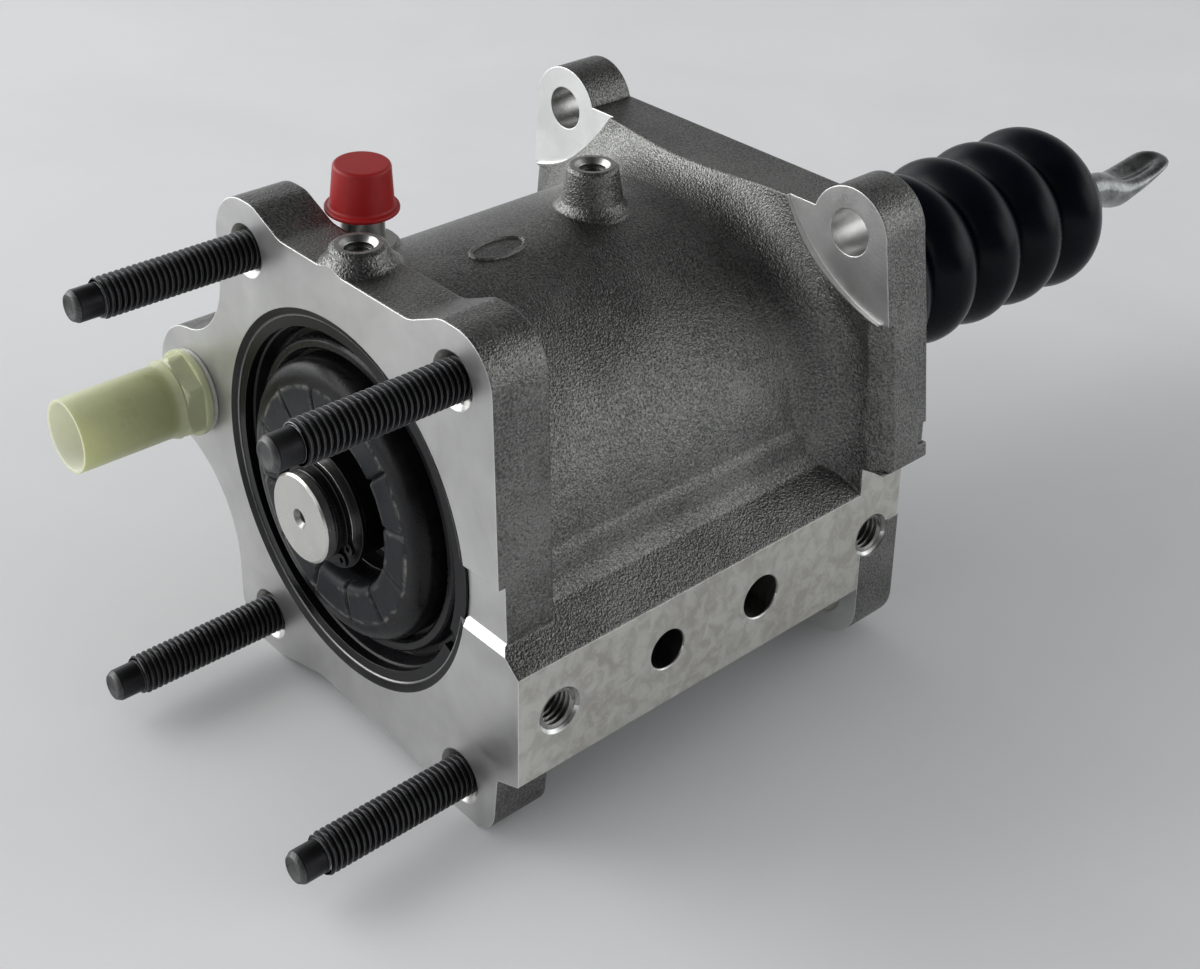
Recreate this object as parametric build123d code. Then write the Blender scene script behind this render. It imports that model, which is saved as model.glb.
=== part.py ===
from build123d import *
import math
import os

# Air brake booster: a cast housing with a front stud face, a side rail and a rear eared flange.
# A sprung piston slides in the bore and pushes a rod out through a bellows at the rear.
# Origin: centre of the four-stud pattern on the machined front face. +Y runs from the
# front face along the bore to the push rod, +Z is up, +X is towards the side rail.

# Fits
SEAT_FIT = 0.05          # radial room of a part that sits still in its seat
RUNNING_FIT = 0.08       # radial room of a seal, guide or shaft that slides
FREE_FIT = 0.3           # room around a part that pulls off
STOP_GAP = 0.4           # piston seal to retaining ring at rest

# Turned corners
LARGE_CORNER = 1.9       # corner size above which a turned corner is cut twice
CORNER_DRAW = 0.35       # how far the second cut follows the arc

# Front face and studs
STUD_SPACING_X = 80.0
STUD_SPACING_Z = 105.0
STUD_D = 10.0
STUD_TIP_D = 7.9
STUD_TIP_LENGTH = 6.0
STUD_TIP_TAPER = 1.6
STUD_PROJECTION = 45.5
STUD_ENGAGEMENT = 12.0
STUD_ROOT_D = 9.8
STUD_COUNTERSINK_R = 6.85
FLANGE_THICKNESS = 15.0
FLANGE_TOP_Z = 60.6
FLANGE_BOTTOM_Z = -59.0
FLANGE_LEFT_MARGIN = 13.5     # stud axis to the flange's left edge
FLANGE_RIGHT_MARGIN = 13.0    # stud axis to the flange's right edge at the top
FLANGE_WAIST_X = 55.6         # right edge just above the rail
LOBE_TOP_R = 13.0
LOBE_BOTTOM_R = 10.5

# Air port ear on the left of the front face
EAR_X = -69.7
EAR_Z = 1.5
EAR_R = 17.3
EAR_DEPTH = 24.0
EAR_SWEEP_TOP_R = 22.0
EAR_SWEEP_BOTTOM_R = 30.0
AIR_PORT_R = 7.5
AIR_PORT_DEPTH = 18.0

# Bore and barrel
BORE_X = -4.7
BORE_R = 45.0
BORE_END_Y = 108.0
MOUTH_R = BORE_R + 0.6
MOUTH_CHAMFER_R = BORE_R + 2.9
MOUTH_DEPTH = 1.0
BARREL_WALL = 9.0
BARREL_R = BORE_R + BARREL_WALL
BARREL_ROOT_BLEND = 4.0
WITNESS_GROOVE_TOP_Z = 7.5
WITNESS_GROOVE_BOTTOM_Z = -7.0
WITNESS_GROOVE_DEPTH = 1.8

# Side rail
RAIL_FACE_X = 61.5
RAIL_TOP_Z = -12.4
RAIL_BOTTOM_Z = -41.8
RAIL_LENGTH = 126.4
RAIL_SHELF_X = 52.3
RAIL_SHELF_Z = -5.0
RAIL_HOLE_Z = -26.5
RAIL_OUTER_HOLES_Y = (11.9, 116.3)
RAIL_OUTER_HOLE_R = 5.1
RAIL_OUTER_CHAMFER_R = 5.9
RAIL_INNER_HOLES_Y = (44.9, 76.0)
RAIL_INNER_HOLE_RADII = (5.1, 5.7)
RAIL_HOLE_DEPTH = 20.0

# Rear flange
REAR_FLANGE_Y = 112.4
REAR_FLANGE_THICKNESS = 14.0
REAR_OUTLINE_X = -1.6
REAR_TOP_Z = 59.5
REAR_CORNER_HALF_WIDTH = 66.1
REAR_CORNER_Z = 36.0
REAR_WAIST_HALF_WIDTH = 70.3
REAR_WAIST_Z = -3.7
REAR_BOTTOM_Z = -50.0
REAR_EAR_X = -2.35
REAR_EAR_SPACING_X = 104.7
REAR_EAR_SPACING_Z = 104.0
REAR_EAR_CENTRE_Z = 4.0
REAR_EAR_R = 11.8
REAR_EAR_HOLE_R = 6.0
SPOT_FACE_R = 16.4
LAND_SWEEP_R = 48.2      # the arc that bounds the machined land of each upper ear
LAND_SWEEP_OUT = 22.3    # its centre, outwards from the hole
LAND_SWEEP_UP = 26.8     # and upwards from it
EDGE_NOTCH_TOP_Z = 6.2
EDGE_NOTCH_BOTTOM_Z = 0.4
EDGE_NOTCH_DEPTH = 1.8
EDGE_NOTCH_LENGTH = 3.0
FLARE_FACE_Y = 111.2     # front of the cast shoulder round the spot faces
FLARE_RADIUS = 16.0
FLARE_TUCK = 0.3         # how far the shoulder starts below the barrel's skin
FLARE_SIDE_WIDTH = 7.0
FLARE_SIDE_DEPTH = 3.0

# Rear hub that carries the rod guide, the rod seal and the bellows
HUB_R = 21.0
HUB_END_Y = 150.0
HUB_BEAD_GROOVE_Y = 143.0
HUB_BEAD_GROOVE_WIDTH = 4.0
HUB_BEAD_GROOVE_DEPTH = 1.5

# Top bosses
BOSS_R = 6.4
BOSS_BASE_R = 8.0
BOSS_TOP_Z = 65.1
BOSSES_Y = (8.2, 78.2)
BOSS_FLARE_R = 10.2
BOSS_FLARE_HEIGHT = 1.9
BOSS_FLARE_ROUND = 1.0
BOSS_TOP_ROUND = 0.7
BOSS_FOOT_SINK = 0.8          # how far the flare starts below the casting's skin
BOSS_HOLE_R = 3.3
BOSS_HOLE_DEPTH = 11.0
BOSS_COUNTERSINK_R = 4.5

# Service port beside the front boss, with its cap
PORT_X = -27.2
PORT_Y = 24.8
PORT_BOSS_R = 8.9
PORT_BOSS_TOP_Z = 52.5
PORT_THREAD_R = 4.9
PORT_THREAD_DEPTH = 8.5
PORT_NIPPLE_R = 5.4
PORT_NIPPLE_BORE_R = 2.4
CAP_BRIM_Z = 60.8
CAP_BRIM_R = 9.1
CAP_BRIM_THICKNESS = 1.1
CAP_BASE_R = 7.8
CAP_TOP_R = 7.0
CAP_TOP_Z = 72.9
CAP_ROOF = 1.8

# Bare oval cast rim on top of the barrel
OVAL_X = -0.7
OVAL_Y = 45.0
OVAL_HALF_LENGTH = 8.0
OVAL_HALF_WIDTH = 4.2
OVAL_RIM_WIDTH = 0.7
OVAL_RIM_HEIGHT = 0.5

# Retaining ring in the mouth of the bore
RETAINER_THICKNESS = 2.0
RETAINER_INNER_R = BORE_R - 1.95
RETAINER_GROOVE_DEPTH = 1.4
RETAINER_GAP_ANGLE = 8.0
RETAINER_GAP_AT = -22.4

# Piston
PISTON_GAP = 0.5         # radial room between the piston and its bore
PISTON_BODY_R = BORE_R - PISTON_GAP
PISTON_NECK_R = BORE_R - 8.6
PISTON_FACE_Y = 6.5
SEAL_SEAT_Y = 12.0
PISTON_REAR_Y = 26.0
PISTON_WEB_FRONT_Y = 12.5
PISTON_WEB_REAR_Y = 20.0
PISTON_HUB_R = 14.0
PISTON_HUB_FRONT_Y = -3.0
PISTON_RECESS_R = 20.0
PISTON_REAR_RECESS_R = PISTON_BODY_R - 6.5
GUIDE_Y = 15.0
GUIDE_WIDTH = 6.0
GUIDE_THICKNESS = 2.5

# Piston seal
SEAL_INNER_LIP_R = PISTON_NECK_R + 3.0
SEAL_OUTER_LIP_ROOT_R = BORE_R - 3.2
SEAL_LIP_DEPTH = 4.5
SEAL_ROUND = 0.7

# Rubber cushion on the piston face
CUSHION_FRONT_Y = -2.5
CUSHION_OUTER_R = PISTON_NECK_R - 1.1
CUSHION_INNER_R = 20.4
CUSHION_OUTER_ROUND = 5.0
CUSHION_INNER_ROUND = 2.5
CUSHION_GROOVES = 12
CUSHION_GROOVE_WIDTH = 1.6
CUSHION_GROOVE_DEPTH = 1.2
CUSHION_PAD_OUTER_R = 30.0

# Shaft and the pieces on its nose
SHAFT_R = 8.0
SHAFT_COLLAR_R = 13.0
SHAFT_COLLAR_LENGTH = 4.0
SHAFT_END_Y = 158.0
SLEEVE_R = 11.0
SLEEVE_FRONT_Y = -8.5
SLEEVE_REAR_Y = 14.0
DISC_FRONT_Y = -11.3
DISC_R = 10.7
DISC_REAR_R = 11.2
DISC_THICKNESS = 2.5
DISC_HOLE_R = 2.5
DISC_HOLE_DEPTH = 2.0
CIRCLIP_Y = -6.5
CIRCLIP_THICKNESS = 1.0
CIRCLIP_INNER_R = 10.4
CIRCLIP_OUTER_R = 12.4
CIRCLIP_LUG_R = 1.7
CIRCLIP_LUG_HOLE_R = 0.8
CIRCLIP_LUG_AT = (-43.0, -19.0)
SPACER_RING_R = 12.6
SPACER_RING_THICKNESS = 1.2
WASHER_R = 15.0
WASHER_THICKNESS = 1.0

# Rear guide, seal and return spring
BUSH_R = 11.0
BUSH_START_Y = 112.0
BUSH_LENGTH = 27.8
ROD_SEAL_R = 12.5
ROD_SEAL_START_Y = 140.0
ROD_SEAL_LENGTH = 7.0
SEAL_CLIP_THICKNESS = 1.2
SEAL_CLIP_DEPTH = 1.0
SPRING_R = 30.0
SPRING_WIRE_R = 2.2
SPRING_WIRE_SIDES = 8
SPRING_TURNS = 3.5
SPRING_SEAT_THICKNESS = 1.5
SPRING_SEAT_LIP = 3.5

# Bellows
BELLOWS_CREST_R = 26.6
BELLOWS_VALLEY_R = 19.2
BELLOWS_PITCH = 21.0
BELLOWS_FOLDS = 6
BELLOWS_FIRST_CREST_Y = 161.5
BELLOWS_WALL = 1.6
BELLOWS_ROOT_Y = 140.0
BELLOWS_ROOT_WALL = 2.4
BELLOWS_NOSE_LENGTH = 12.0
BELLOWS_NOSE_HOLE_R = 9.8
BELLOWS_FOLD_STEPS = 4
BELLOWS_FULLNESS = 0.7

# Push rod
ROD_R = 5.25
ROD_NECK_R = 4.4
ROD_BALL_R = 5.9
ROD_BALL_Y = 151.0
ROD_TILT = 1.7
ROD_STRAIGHT_END_Y = 304.0
ROD_NECK_LENGTH = 9.0
ROD_NECK_TAPER = 3.0
# Stations of the forged tongue: past the straight bar, width, height, lift
ROD_TONGUE = ((0, 2 * ROD_R, 2 * ROD_R, 0), (8, 12.0, 11.5, -0.8), (18, 14.4, 9.6, -0.4),
              (27, 15.0, 6.4, 2.0), (34, 13.0, 4.6, 4.0), (37.5, 7.5, 3.2, 5.2))
ROD_DISH_R = 10.0
ROD_DISH_AT = (25.0, 11.5)   # along the tongue and above its axis
ROD_DISH_SHAPE = (0.62, 1.5, 1)
ROD_CLIP_Y = 155.0
ROD_CLIP_THICKNESS = 1.0

# Green plug in the air port
PLUG_TUBE_R = 9.7
PLUG_TUBE_WALL = 0.9
PLUG_OPEN_END_Y = -36.7
PLUG_COLLAR_FRONT_Y = -8.5
PLUG_COLLAR_R = 11.6
PLUG_COLLAR_FLATS = 20.6
PLUG_COLLAR_REAR_Y = -1.6
PLUG_STUB_END_Y = 12.0
PORT_RING_HALF_WIDTH = 1.15
PORT_RING_CENTRE_R = 10.0


def face_of(points):
    """A closed outline from (a, b) or (a, b, corner radius) points."""
    corners = [(p[0], p[1]) for p in points]
    radii = [p[2] if len(p) > 2 else 0 for p in points]
    if any(radii):
        return make_face(FilletPolyline(*corners, radius=radii, close=True))
    return make_face(Polyline(*corners, close=True))


def bevelled(points):
    """The same outline with every corner that carries a size cut across, the large ones in two cuts."""
    outline = []
    for k, p in enumerate(points):
        if len(p) < 3:
            outline.append(p)
            continue
        ends = []
        for q in (points[k - 1], points[(k + 1) % len(points)]):
            share = p[2] / math.hypot(q[0] - p[0], q[1] - p[1])
            ends.append((p[0] + share * (q[0] - p[0]), p[1] + share * (q[1] - p[1])))
        if p[2] > LARGE_CORNER:
            middle = [CORNER_DRAW * (a + b) + (1 - 2 * CORNER_DRAW) * c for a, b, c in zip(*ends, p)]
            ends.insert(1, tuple(middle))
        outline += ends
    return outline


def turned(points, x=BORE_X, z=0.0):
    """A body turned about an axis along Y, from (radius, y) or (radius, y, corner size) points."""
    return Pos(x, 0, z) * revolve(face_of(bevelled(points)), Axis.Y)


def ring(outer_r, inner_r, y0, y1, x=BORE_X, z=0.0):
    """A plain ring or disc about an axis along Y."""
    return turned([(inner_r, y0), (outer_r, y0), (outer_r, y1), (inner_r, y1)], x, z)


def upright(points, x, y):
    """A body turned about a vertical axis, from (radius, z) or (radius, z, corner size) points."""
    outline = Plane.XZ * face_of(bevelled(points))
    return Pos(x, y, 0) * revolve(outline, Axis.Z)


def plate(sketch, y0, y1):
    """An (x, z) sketch extruded from y0 to y1."""
    return extrude(Plane.XZ.offset(-y0) * sketch, amount=-(y1 - y0))


def at_studs():
    """The four stud axes as (x, z)."""
    return [(i * STUD_SPACING_X / 2, k * STUD_SPACING_Z / 2) for i in (-1, 1) for k in (-1, 1)]


def at_rear_ears():
    """The four rear hole axes as (x, z)."""
    return [(REAR_EAR_X + i * REAR_EAR_SPACING_X / 2, REAR_EAR_CENTRE_Z + k * REAR_EAR_SPACING_Z / 2)
            for i in (-1, 1) for k in (-1, 1)]


def front_outline():
    """The machined face: two top lobes, a foot on the rail side and the swept-in port ear."""
    left = -STUD_SPACING_X / 2 - FLANGE_LEFT_MARGIN
    right = STUD_SPACING_X / 2 + FLANGE_RIGHT_MARGIN
    top = STUD_SPACING_Z / 2 + LOBE_TOP_R
    foot = -STUD_SPACING_Z / 2 - LOBE_BOTTOM_R
    lobe_in = STUD_SPACING_X / 2 - 4
    lobe_out = STUD_SPACING_X / 2 - 15
    body = face_of([
        (left, top, LOBE_TOP_R), (-lobe_in, top, 8), (-lobe_out, FLANGE_TOP_Z, 8),
        (lobe_out, FLANGE_TOP_Z, 8), (lobe_in, top, 8), (right, top, LOBE_TOP_R - 0.6),
        (FLANGE_WAIST_X, RAIL_TOP_Z + 1.2, 0.5), (RAIL_FACE_X, RAIL_TOP_Z, 0.5),
        (RAIL_FACE_X, RAIL_BOTTOM_Z, 0.5), (right + 1, RAIL_BOTTOM_Z - 2.4, 2),
        (right - 0.8, foot, 8), (STUD_SPACING_X / 2 - 3, foot, 8),
        (STUD_SPACING_X / 2 - 14, FLANGE_BOTTOM_Z, 8), (-lobe_out + 8, FLANGE_BOTTOM_Z + 1, 14),
        (-lobe_in, foot, 8), (left, foot, LOBE_BOTTOM_R)])
    ear = Pos(EAR_X, EAR_Z) * Circle(EAR_R)
    outline = body + ear
    joins = [v for v in outline.vertices()
             if abs(math.hypot(v.X - EAR_X, v.Y - EAR_Z) - EAR_R) < 0.01]
    low, high = sorted(joins, key=lambda v: v.Y)
    outline = fillet(high, EAR_SWEEP_TOP_R)
    low = min(outline.vertices(), key=lambda v: math.hypot(v.X - low.X, v.Y - low.Y))
    return fillet(low, EAR_SWEEP_BOTTOM_R)


def rear_outline():
    """The rear flange without its ears."""
    c = REAR_OUTLINE_X
    ear_x = REAR_EAR_SPACING_X / 2
    ear_z = REAR_EAR_CENTRE_Z + REAR_EAR_SPACING_Z / 2
    return face_of([
        (REAR_EAR_X - ear_x - REAR_EAR_R, ear_z), (REAR_EAR_X - ear_x, REAR_TOP_Z),
        (REAR_EAR_X + ear_x, REAR_TOP_Z), (REAR_EAR_X + ear_x + REAR_EAR_R, ear_z),
        (c + REAR_CORNER_HALF_WIDTH, REAR_CORNER_Z), (c + REAR_WAIST_HALF_WIDTH, REAR_WAIST_Z, 1),
        (RAIL_FACE_X, REAR_WAIST_Z - 1), (RAIL_FACE_X, RAIL_BOTTOM_Z),
        (RAIL_FACE_X - 10, REAR_BOTTOM_Z), (c - REAR_CORNER_HALF_WIDTH + 10, REAR_BOTTOM_Z, 6),
        (c - REAR_CORNER_HALF_WIDTH, RAIL_BOTTOM_Z, 8), (c - REAR_WAIST_HALF_WIDTH, REAR_WAIST_Z, 8),
        (c - REAR_CORNER_HALF_WIDTH, REAR_CORNER_Z)])


def rear_ears():
    """Round ears on square necks, as one sketch."""
    ears = Sketch()
    for x, z in at_rear_ears():
        inward = -1 if z > 0 else 1
        neck = Pos(x, z + inward * REAR_EAR_R) * Rectangle(2 * REAR_EAR_R, 2 * REAR_EAR_R)
        ears += Pos(x, z) * Circle(REAR_EAR_R) + neck
    return ears


def spot_face(x, z):
    """The machined land at a rear hole: a spot face below, the sweep of a wide cutter above."""
    if z < 0:
        return Pos(x, z) * Circle(SPOT_FACE_R)
    side = 1 if x > REAR_OUTLINE_X else -1
    return Pos(x + side * LAND_SWEEP_OUT, z + LAND_SWEEP_UP) * Circle(LAND_SWEEP_R)


def shoulder_side(side):
    """The bar cut off the flange's front edge on one side, in three slopes."""
    top = Vector(REAR_OUTLINE_X + side * REAR_CORNER_HALF_WIDTH, 0, REAR_CORNER_Z)
    bottom = Vector(REAR_OUTLINE_X + side * REAR_WAIST_HALF_WIDTH, 0, REAR_WAIST_Z)
    down = (bottom - top).normalized()
    outward = Vector(-side * down.Z, 0, side * down.X)
    wide, deep = FLARE_SIDE_WIDTH, FLARE_SIDE_DEPTH
    profile = [(-wide, -wide), (-wide, -0.2 * deep), (-0.65 * wide, 0.12 * deep), (-0.3 * wide, 0.45 * deep),
               (0, deep), (1, 1.3 * deep), (1, -wide)]
    bar = face_of([(a, -side * (FLARE_FACE_Y + b)) for a, b in profile])
    return extrude(Plane(origin=top, x_dir=outward, z_dir=down) * bar, amount=(bottom - top).length)


def rear_flare():
    """The shoulder that sweeps from the barrel up to the front of the rear flange."""
    start_r = BARREL_R - FLARE_TUCK
    start_y = FLARE_FACE_Y - FLARE_RADIUS
    half = FLARE_RADIUS * math.sqrt(0.5)
    sweep = ThreePointArc((start_r, start_y), (start_r + FLARE_RADIUS - half, start_y + half),
                          (start_r + FLARE_RADIUS, FLARE_FACE_Y))
    reach = REAR_WAIST_HALF_WIDTH + REAR_TOP_Z
    rest = Polyline((start_r + FLARE_RADIUS, FLARE_FACE_Y), (reach, FLARE_FACE_Y), (reach, REAR_FLANGE_Y),
                    (0, REAR_FLANGE_Y), (0, start_y), (start_r, start_y))
    shoulder = Pos(BORE_X, 0, 0) * revolve(make_face(sweep + rest), Axis.Y)
    block = plate(rear_outline(), start_y - 1, REAR_FLANGE_Y)
    flare = shoulder & block
    for x, z in at_rear_ears():
        flare -= plate(spot_face(x, z), start_y - 1, REAR_FLANGE_Y)
    return flare


def side_rail():
    """The machined rail with its sloped shelf up to the barrel."""
    section = face_of([
        (BORE_X + 40, RAIL_SHELF_Z + 18), (RAIL_SHELF_X - 3.0, RAIL_SHELF_Z + 13, 8),
        (RAIL_SHELF_X - 1.6, RAIL_SHELF_Z + 4, 6), (RAIL_SHELF_X, RAIL_SHELF_Z, 2),
        (RAIL_FACE_X, RAIL_TOP_Z, 0.5), (RAIL_FACE_X, RAIL_BOTTOM_Z, 0.5),
        (RAIL_FACE_X - 8, RAIL_BOTTOM_Z - 3, 5), (BORE_X + 30, RAIL_BOTTOM_Z - 4)])
    return plate(section, 0, RAIL_LENGTH)


def top_boss(y, foot_z):
    """An upright boss that flares into the casting below it."""
    flare_z = foot_z + BOSS_FLARE_HEIGHT
    return upright([(0, foot_z - 6), (BOSS_FLARE_R, foot_z - 6), (BOSS_FLARE_R, foot_z),
                    (BOSS_BASE_R, flare_z, BOSS_FLARE_ROUND), (BOSS_R, BOSS_TOP_Z, BOSS_TOP_ROUND),
                    (0, BOSS_TOP_Z)], BORE_X, y)


def port_ear():
    """The air port's round body behind its ear, tied into the barrel."""
    ear = turned([(0, FLANGE_THICKNESS - 1), (EAR_R - 1, FLANGE_THICKNESS - 1),
                  (EAR_R - 2.2, EAR_DEPTH - 1.5), (EAR_R - 3.7, EAR_DEPTH), (0, EAR_DEPTH)], EAR_X, EAR_Z)
    reach = BORE_X - BORE_R - 3 - EAR_X
    web = Pos(EAR_X + reach / 2, EAR_Z) * Rectangle(reach, 1.3 * EAR_R)
    return ear + plate(web, FLANGE_THICKNESS - 1, EAR_DEPTH - 3)


def oval_rim():
    """A bare oval rim that follows the barrel."""
    outer = Pos(OVAL_X, OVAL_Y) * Ellipse(OVAL_HALF_WIDTH, OVAL_HALF_LENGTH)
    inner = Pos(OVAL_X, OVAL_Y) * Ellipse(OVAL_HALF_WIDTH - OVAL_RIM_WIDTH, OVAL_HALF_LENGTH - OVAL_RIM_WIDTH)
    rim = extrude(Plane.XY.offset(BORE_R + 3) * (outer - inner), amount=BARREL_R - BORE_R)
    skin = ring(BARREL_R + OVAL_RIM_HEIGHT, 0, OVAL_Y - 2 * OVAL_HALF_LENGTH, OVAL_Y + 2 * OVAL_HALF_LENGTH)
    return rim & skin


def housing_casting():
    """Everything cast, before machining."""
    flange = plate(front_outline(), 0, FLANGE_THICKNESS)
    root_end = FLANGE_THICKNESS + BARREL_ROOT_BLEND
    barrel = ring(BARREL_R, 0, 1, REAR_FLANGE_Y + 1)
    root_r = BARREL_R + BARREL_ROOT_BLEND
    root = turned([(0, 2), (root_r, 2), (root_r, FLANGE_THICKNESS),
                   (BARREL_R, FLANGE_THICKNESS, 0.98 * BARREL_ROOT_BLEND), (BARREL_R, root_end), (0, root_end)])
    body = flange + barrel + (root & plate(front_outline(), 1, root_end + 2))
    body += rear_flare()
    rear = rear_outline() + rear_ears()
    body += plate(rear, REAR_FLANGE_Y, REAR_FLANGE_Y + REAR_FLANGE_THICKNESS)
    for side in (-1, 1):
        body -= shoulder_side(side)
    body += side_rail()
    body += port_ear()
    body += top_boss(BOSSES_Y[0], FLANGE_TOP_Z - BOSS_FOOT_SINK)
    body += top_boss(BOSSES_Y[1], BARREL_R - BOSS_FOOT_SINK)
    body += upright([(0, BORE_R - 6), (PORT_BOSS_R + 1.5, BORE_R - 6), (PORT_BOSS_R, PORT_BOSS_TOP_Z - 0.8),
                     (PORT_BOSS_R - 0.8, PORT_BOSS_TOP_Z), (0, PORT_BOSS_TOP_Z)], PORT_X, PORT_Y)
    body += oval_rim()
    hub_y = REAR_FLANGE_Y + REAR_FLANGE_THICKNESS
    body += turned([(0, hub_y - 2), (HUB_R + 6, hub_y - 2), (HUB_R + 6, hub_y), (HUB_R, hub_y + 6),
                    (HUB_R, HUB_END_Y - 1), (HUB_R - 1, HUB_END_Y), (0, HUB_END_Y)])
    return body


def housing():
    """The casting with every machined bore, hole and groove."""
    body = housing_casting()
    overhang = Pos(BORE_X, BOSS_TOP_Z) * Rectangle(4 * BOSS_FLARE_R, 4 * BOSS_FLARE_R)
    body -= plate(overhang, -2 * BOSS_FLARE_R, 0)
    notch_x = REAR_OUTLINE_X + REAR_WAIST_HALF_WIDTH
    notch = Pos(notch_x, (EDGE_NOTCH_TOP_Z + EDGE_NOTCH_BOTTOM_Z) / 2) * Rectangle(
        2 * EDGE_NOTCH_DEPTH, EDGE_NOTCH_TOP_Z - EDGE_NOTCH_BOTTOM_Z)
    rear_face = REAR_FLANGE_Y + REAR_FLANGE_THICKNESS
    body -= plate(notch, rear_face - EDGE_NOTCH_LENGTH, rear_face + 1)
    groove_y = MOUTH_DEPTH
    groove_end = groove_y + RETAINER_THICKNESS + 2 * SEAT_FIT
    groove_r = MOUTH_R + RETAINER_GROOVE_DEPTH
    body -= turned([(0, -1), (MOUTH_CHAMFER_R + 1, -1), (MOUTH_CHAMFER_R, 0), (MOUTH_R, MOUTH_DEPTH),
                    (groove_r, groove_y), (groove_r, groove_end), (BORE_R, groove_end),
                    (BORE_R, BORE_END_Y - 1.5), (BORE_R - 1.5, BORE_END_Y), (0, BORE_END_Y)])
    witness_foot = WITNESS_GROOVE_BOTTOM_Z - WITNESS_GROOVE_DEPTH
    witness = face_of([(-1, WITNESS_GROOVE_TOP_Z), (WITNESS_GROOVE_DEPTH, WITNESS_GROOVE_TOP_Z),
                       (WITNESS_GROOVE_DEPTH, WITNESS_GROOVE_BOTTOM_Z), (0, witness_foot), (-1, witness_foot)])
    inside_bore = BORE_X + BORE_R - 6
    body -= extrude(Plane.YZ.offset(inside_bore) * witness, amount=RAIL_FACE_X + 2 - inside_bore)
    hole_r = STUD_ROOT_D / 2 + SEAT_FIT
    for x, z in at_studs():
        body -= turned([(0, -1), (STUD_COUNTERSINK_R + 1, -1), (STUD_COUNTERSINK_R, 0),
                        (hole_r, STUD_COUNTERSINK_R - hole_r), (hole_r, STUD_ENGAGEMENT + SEAT_FIT),
                        (0, STUD_ENGAGEMENT + SEAT_FIT)], x, z)
    body -= ring(AIR_PORT_R, 0, -1, AIR_PORT_DEPTH, EAR_X, EAR_Z)
    for x, z in at_rear_ears():
        body -= ring(REAR_EAR_HOLE_R, 0, REAR_FLANGE_Y - 1, rear_face + 1, x, z)
    body -= rail_holes()
    for y in BOSSES_Y:
        sink = BOSS_COUNTERSINK_R - BOSS_HOLE_R
        floor = BOSS_TOP_Z - BOSS_HOLE_DEPTH
        body -= upright([(0, BOSS_TOP_Z + 1), (BOSS_COUNTERSINK_R, BOSS_TOP_Z + 1),
                         (BOSS_COUNTERSINK_R, BOSS_TOP_Z), (BOSS_HOLE_R, BOSS_TOP_Z - sink),
                         (BOSS_HOLE_R, floor), (0, floor)], BORE_X, y)
    port_floor = PORT_BOSS_TOP_Z - PORT_THREAD_DEPTH - SEAT_FIT
    body -= upright([(0, PORT_BOSS_TOP_Z + 1), (PORT_THREAD_R + SEAT_FIT, PORT_BOSS_TOP_Z + 1),
                     (PORT_THREAD_R + SEAT_FIT, port_floor), (0, port_floor)], PORT_X, PORT_Y)
    seal_end = ROD_SEAL_START_Y + ROD_SEAL_LENGTH
    clip_end = seal_end + SEAL_CLIP_THICKNESS + 2 * SEAT_FIT
    seal_r = ROD_SEAL_R + SEAT_FIT
    body -= turned([(0, BORE_END_Y - 1), (SHAFT_R + 0.6, BORE_END_Y - 1), (SHAFT_R + 0.6, BUSH_START_Y - SEAT_FIT),
                    (BUSH_R + SEAT_FIT, BUSH_START_Y - SEAT_FIT), (BUSH_R + SEAT_FIT, ROD_SEAL_START_Y - SEAT_FIT),
                    (seal_r, ROD_SEAL_START_Y - SEAT_FIT), (seal_r, seal_end),
                    (seal_r + SEAL_CLIP_DEPTH, seal_end), (seal_r + SEAL_CLIP_DEPTH, clip_end),
                    (seal_r, clip_end), (seal_r, HUB_END_Y + 1), (0, HUB_END_Y + 1)])
    body -= ring(HUB_R + 5, HUB_R - HUB_BEAD_GROOVE_DEPTH, HUB_BEAD_GROOVE_Y,
                 HUB_BEAD_GROOVE_Y + HUB_BEAD_GROOVE_WIDTH)
    return body


def rail_holes():
    """Two threaded end holes with chamfers and two plain holes between them."""
    def hole(y, r, mouth_r):
        sink = mouth_r - r
        cut = revolve(face_of([(0, -RAIL_HOLE_DEPTH), (r, -RAIL_HOLE_DEPTH), (r, -sink),
                               (mouth_r, 0), (mouth_r, 1), (0, 1)]), Axis.Y)
        return Pos(RAIL_FACE_X, y, RAIL_HOLE_Z) * Rot(0, 0, -90) * cut

    holes = Part()
    for y in RAIL_OUTER_HOLES_Y:
        holes += hole(y, RAIL_OUTER_HOLE_R, RAIL_OUTER_CHAMFER_R)
    for y, r in zip(RAIL_INNER_HOLES_Y, RAIL_INNER_HOLE_RADII):
        holes += hole(y, r, r + 0.3)
    return holes


def stud(x, z):
    """One dog-point stud, its thread at full crest size."""
    r = STUD_D / 2
    root_r = STUD_ROOT_D / 2
    tip_r = STUD_TIP_D / 2
    tip = -STUD_PROJECTION
    shoulder = tip + STUD_TIP_LENGTH
    return turned([(0, tip), (tip_r, tip, 0.4), (tip_r, shoulder), (r, shoulder + STUD_TIP_TAPER),
                   (r, 0), (root_r, r - root_r), (root_r, STUD_ENGAGEMENT), (0, STUD_ENGAGEMENT)], x, z)


def front_studs():
    return Compound(children=[stud(x, z) for x, z in at_studs()])


def split_ring(outer_r, inner_r, y0, y1, gap, at):
    """A ring with a gap of so many degrees at an angle from +X."""
    whole = turned([(inner_r, y0), (outer_r, y0), (outer_r, y1), (inner_r, y1)], 0)
    reach = 2 * outer_r
    half = math.radians(gap / 2)
    middle = math.radians(at)
    corners = [(0, 0), (reach * math.cos(middle - half), reach * math.sin(middle - half)),
               (reach * math.cos(middle + half), reach * math.sin(middle + half))]
    return Pos(BORE_X, 0, 0) * (whole - plate(face_of(corners), y0 - 1, y1 + 1))


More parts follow.
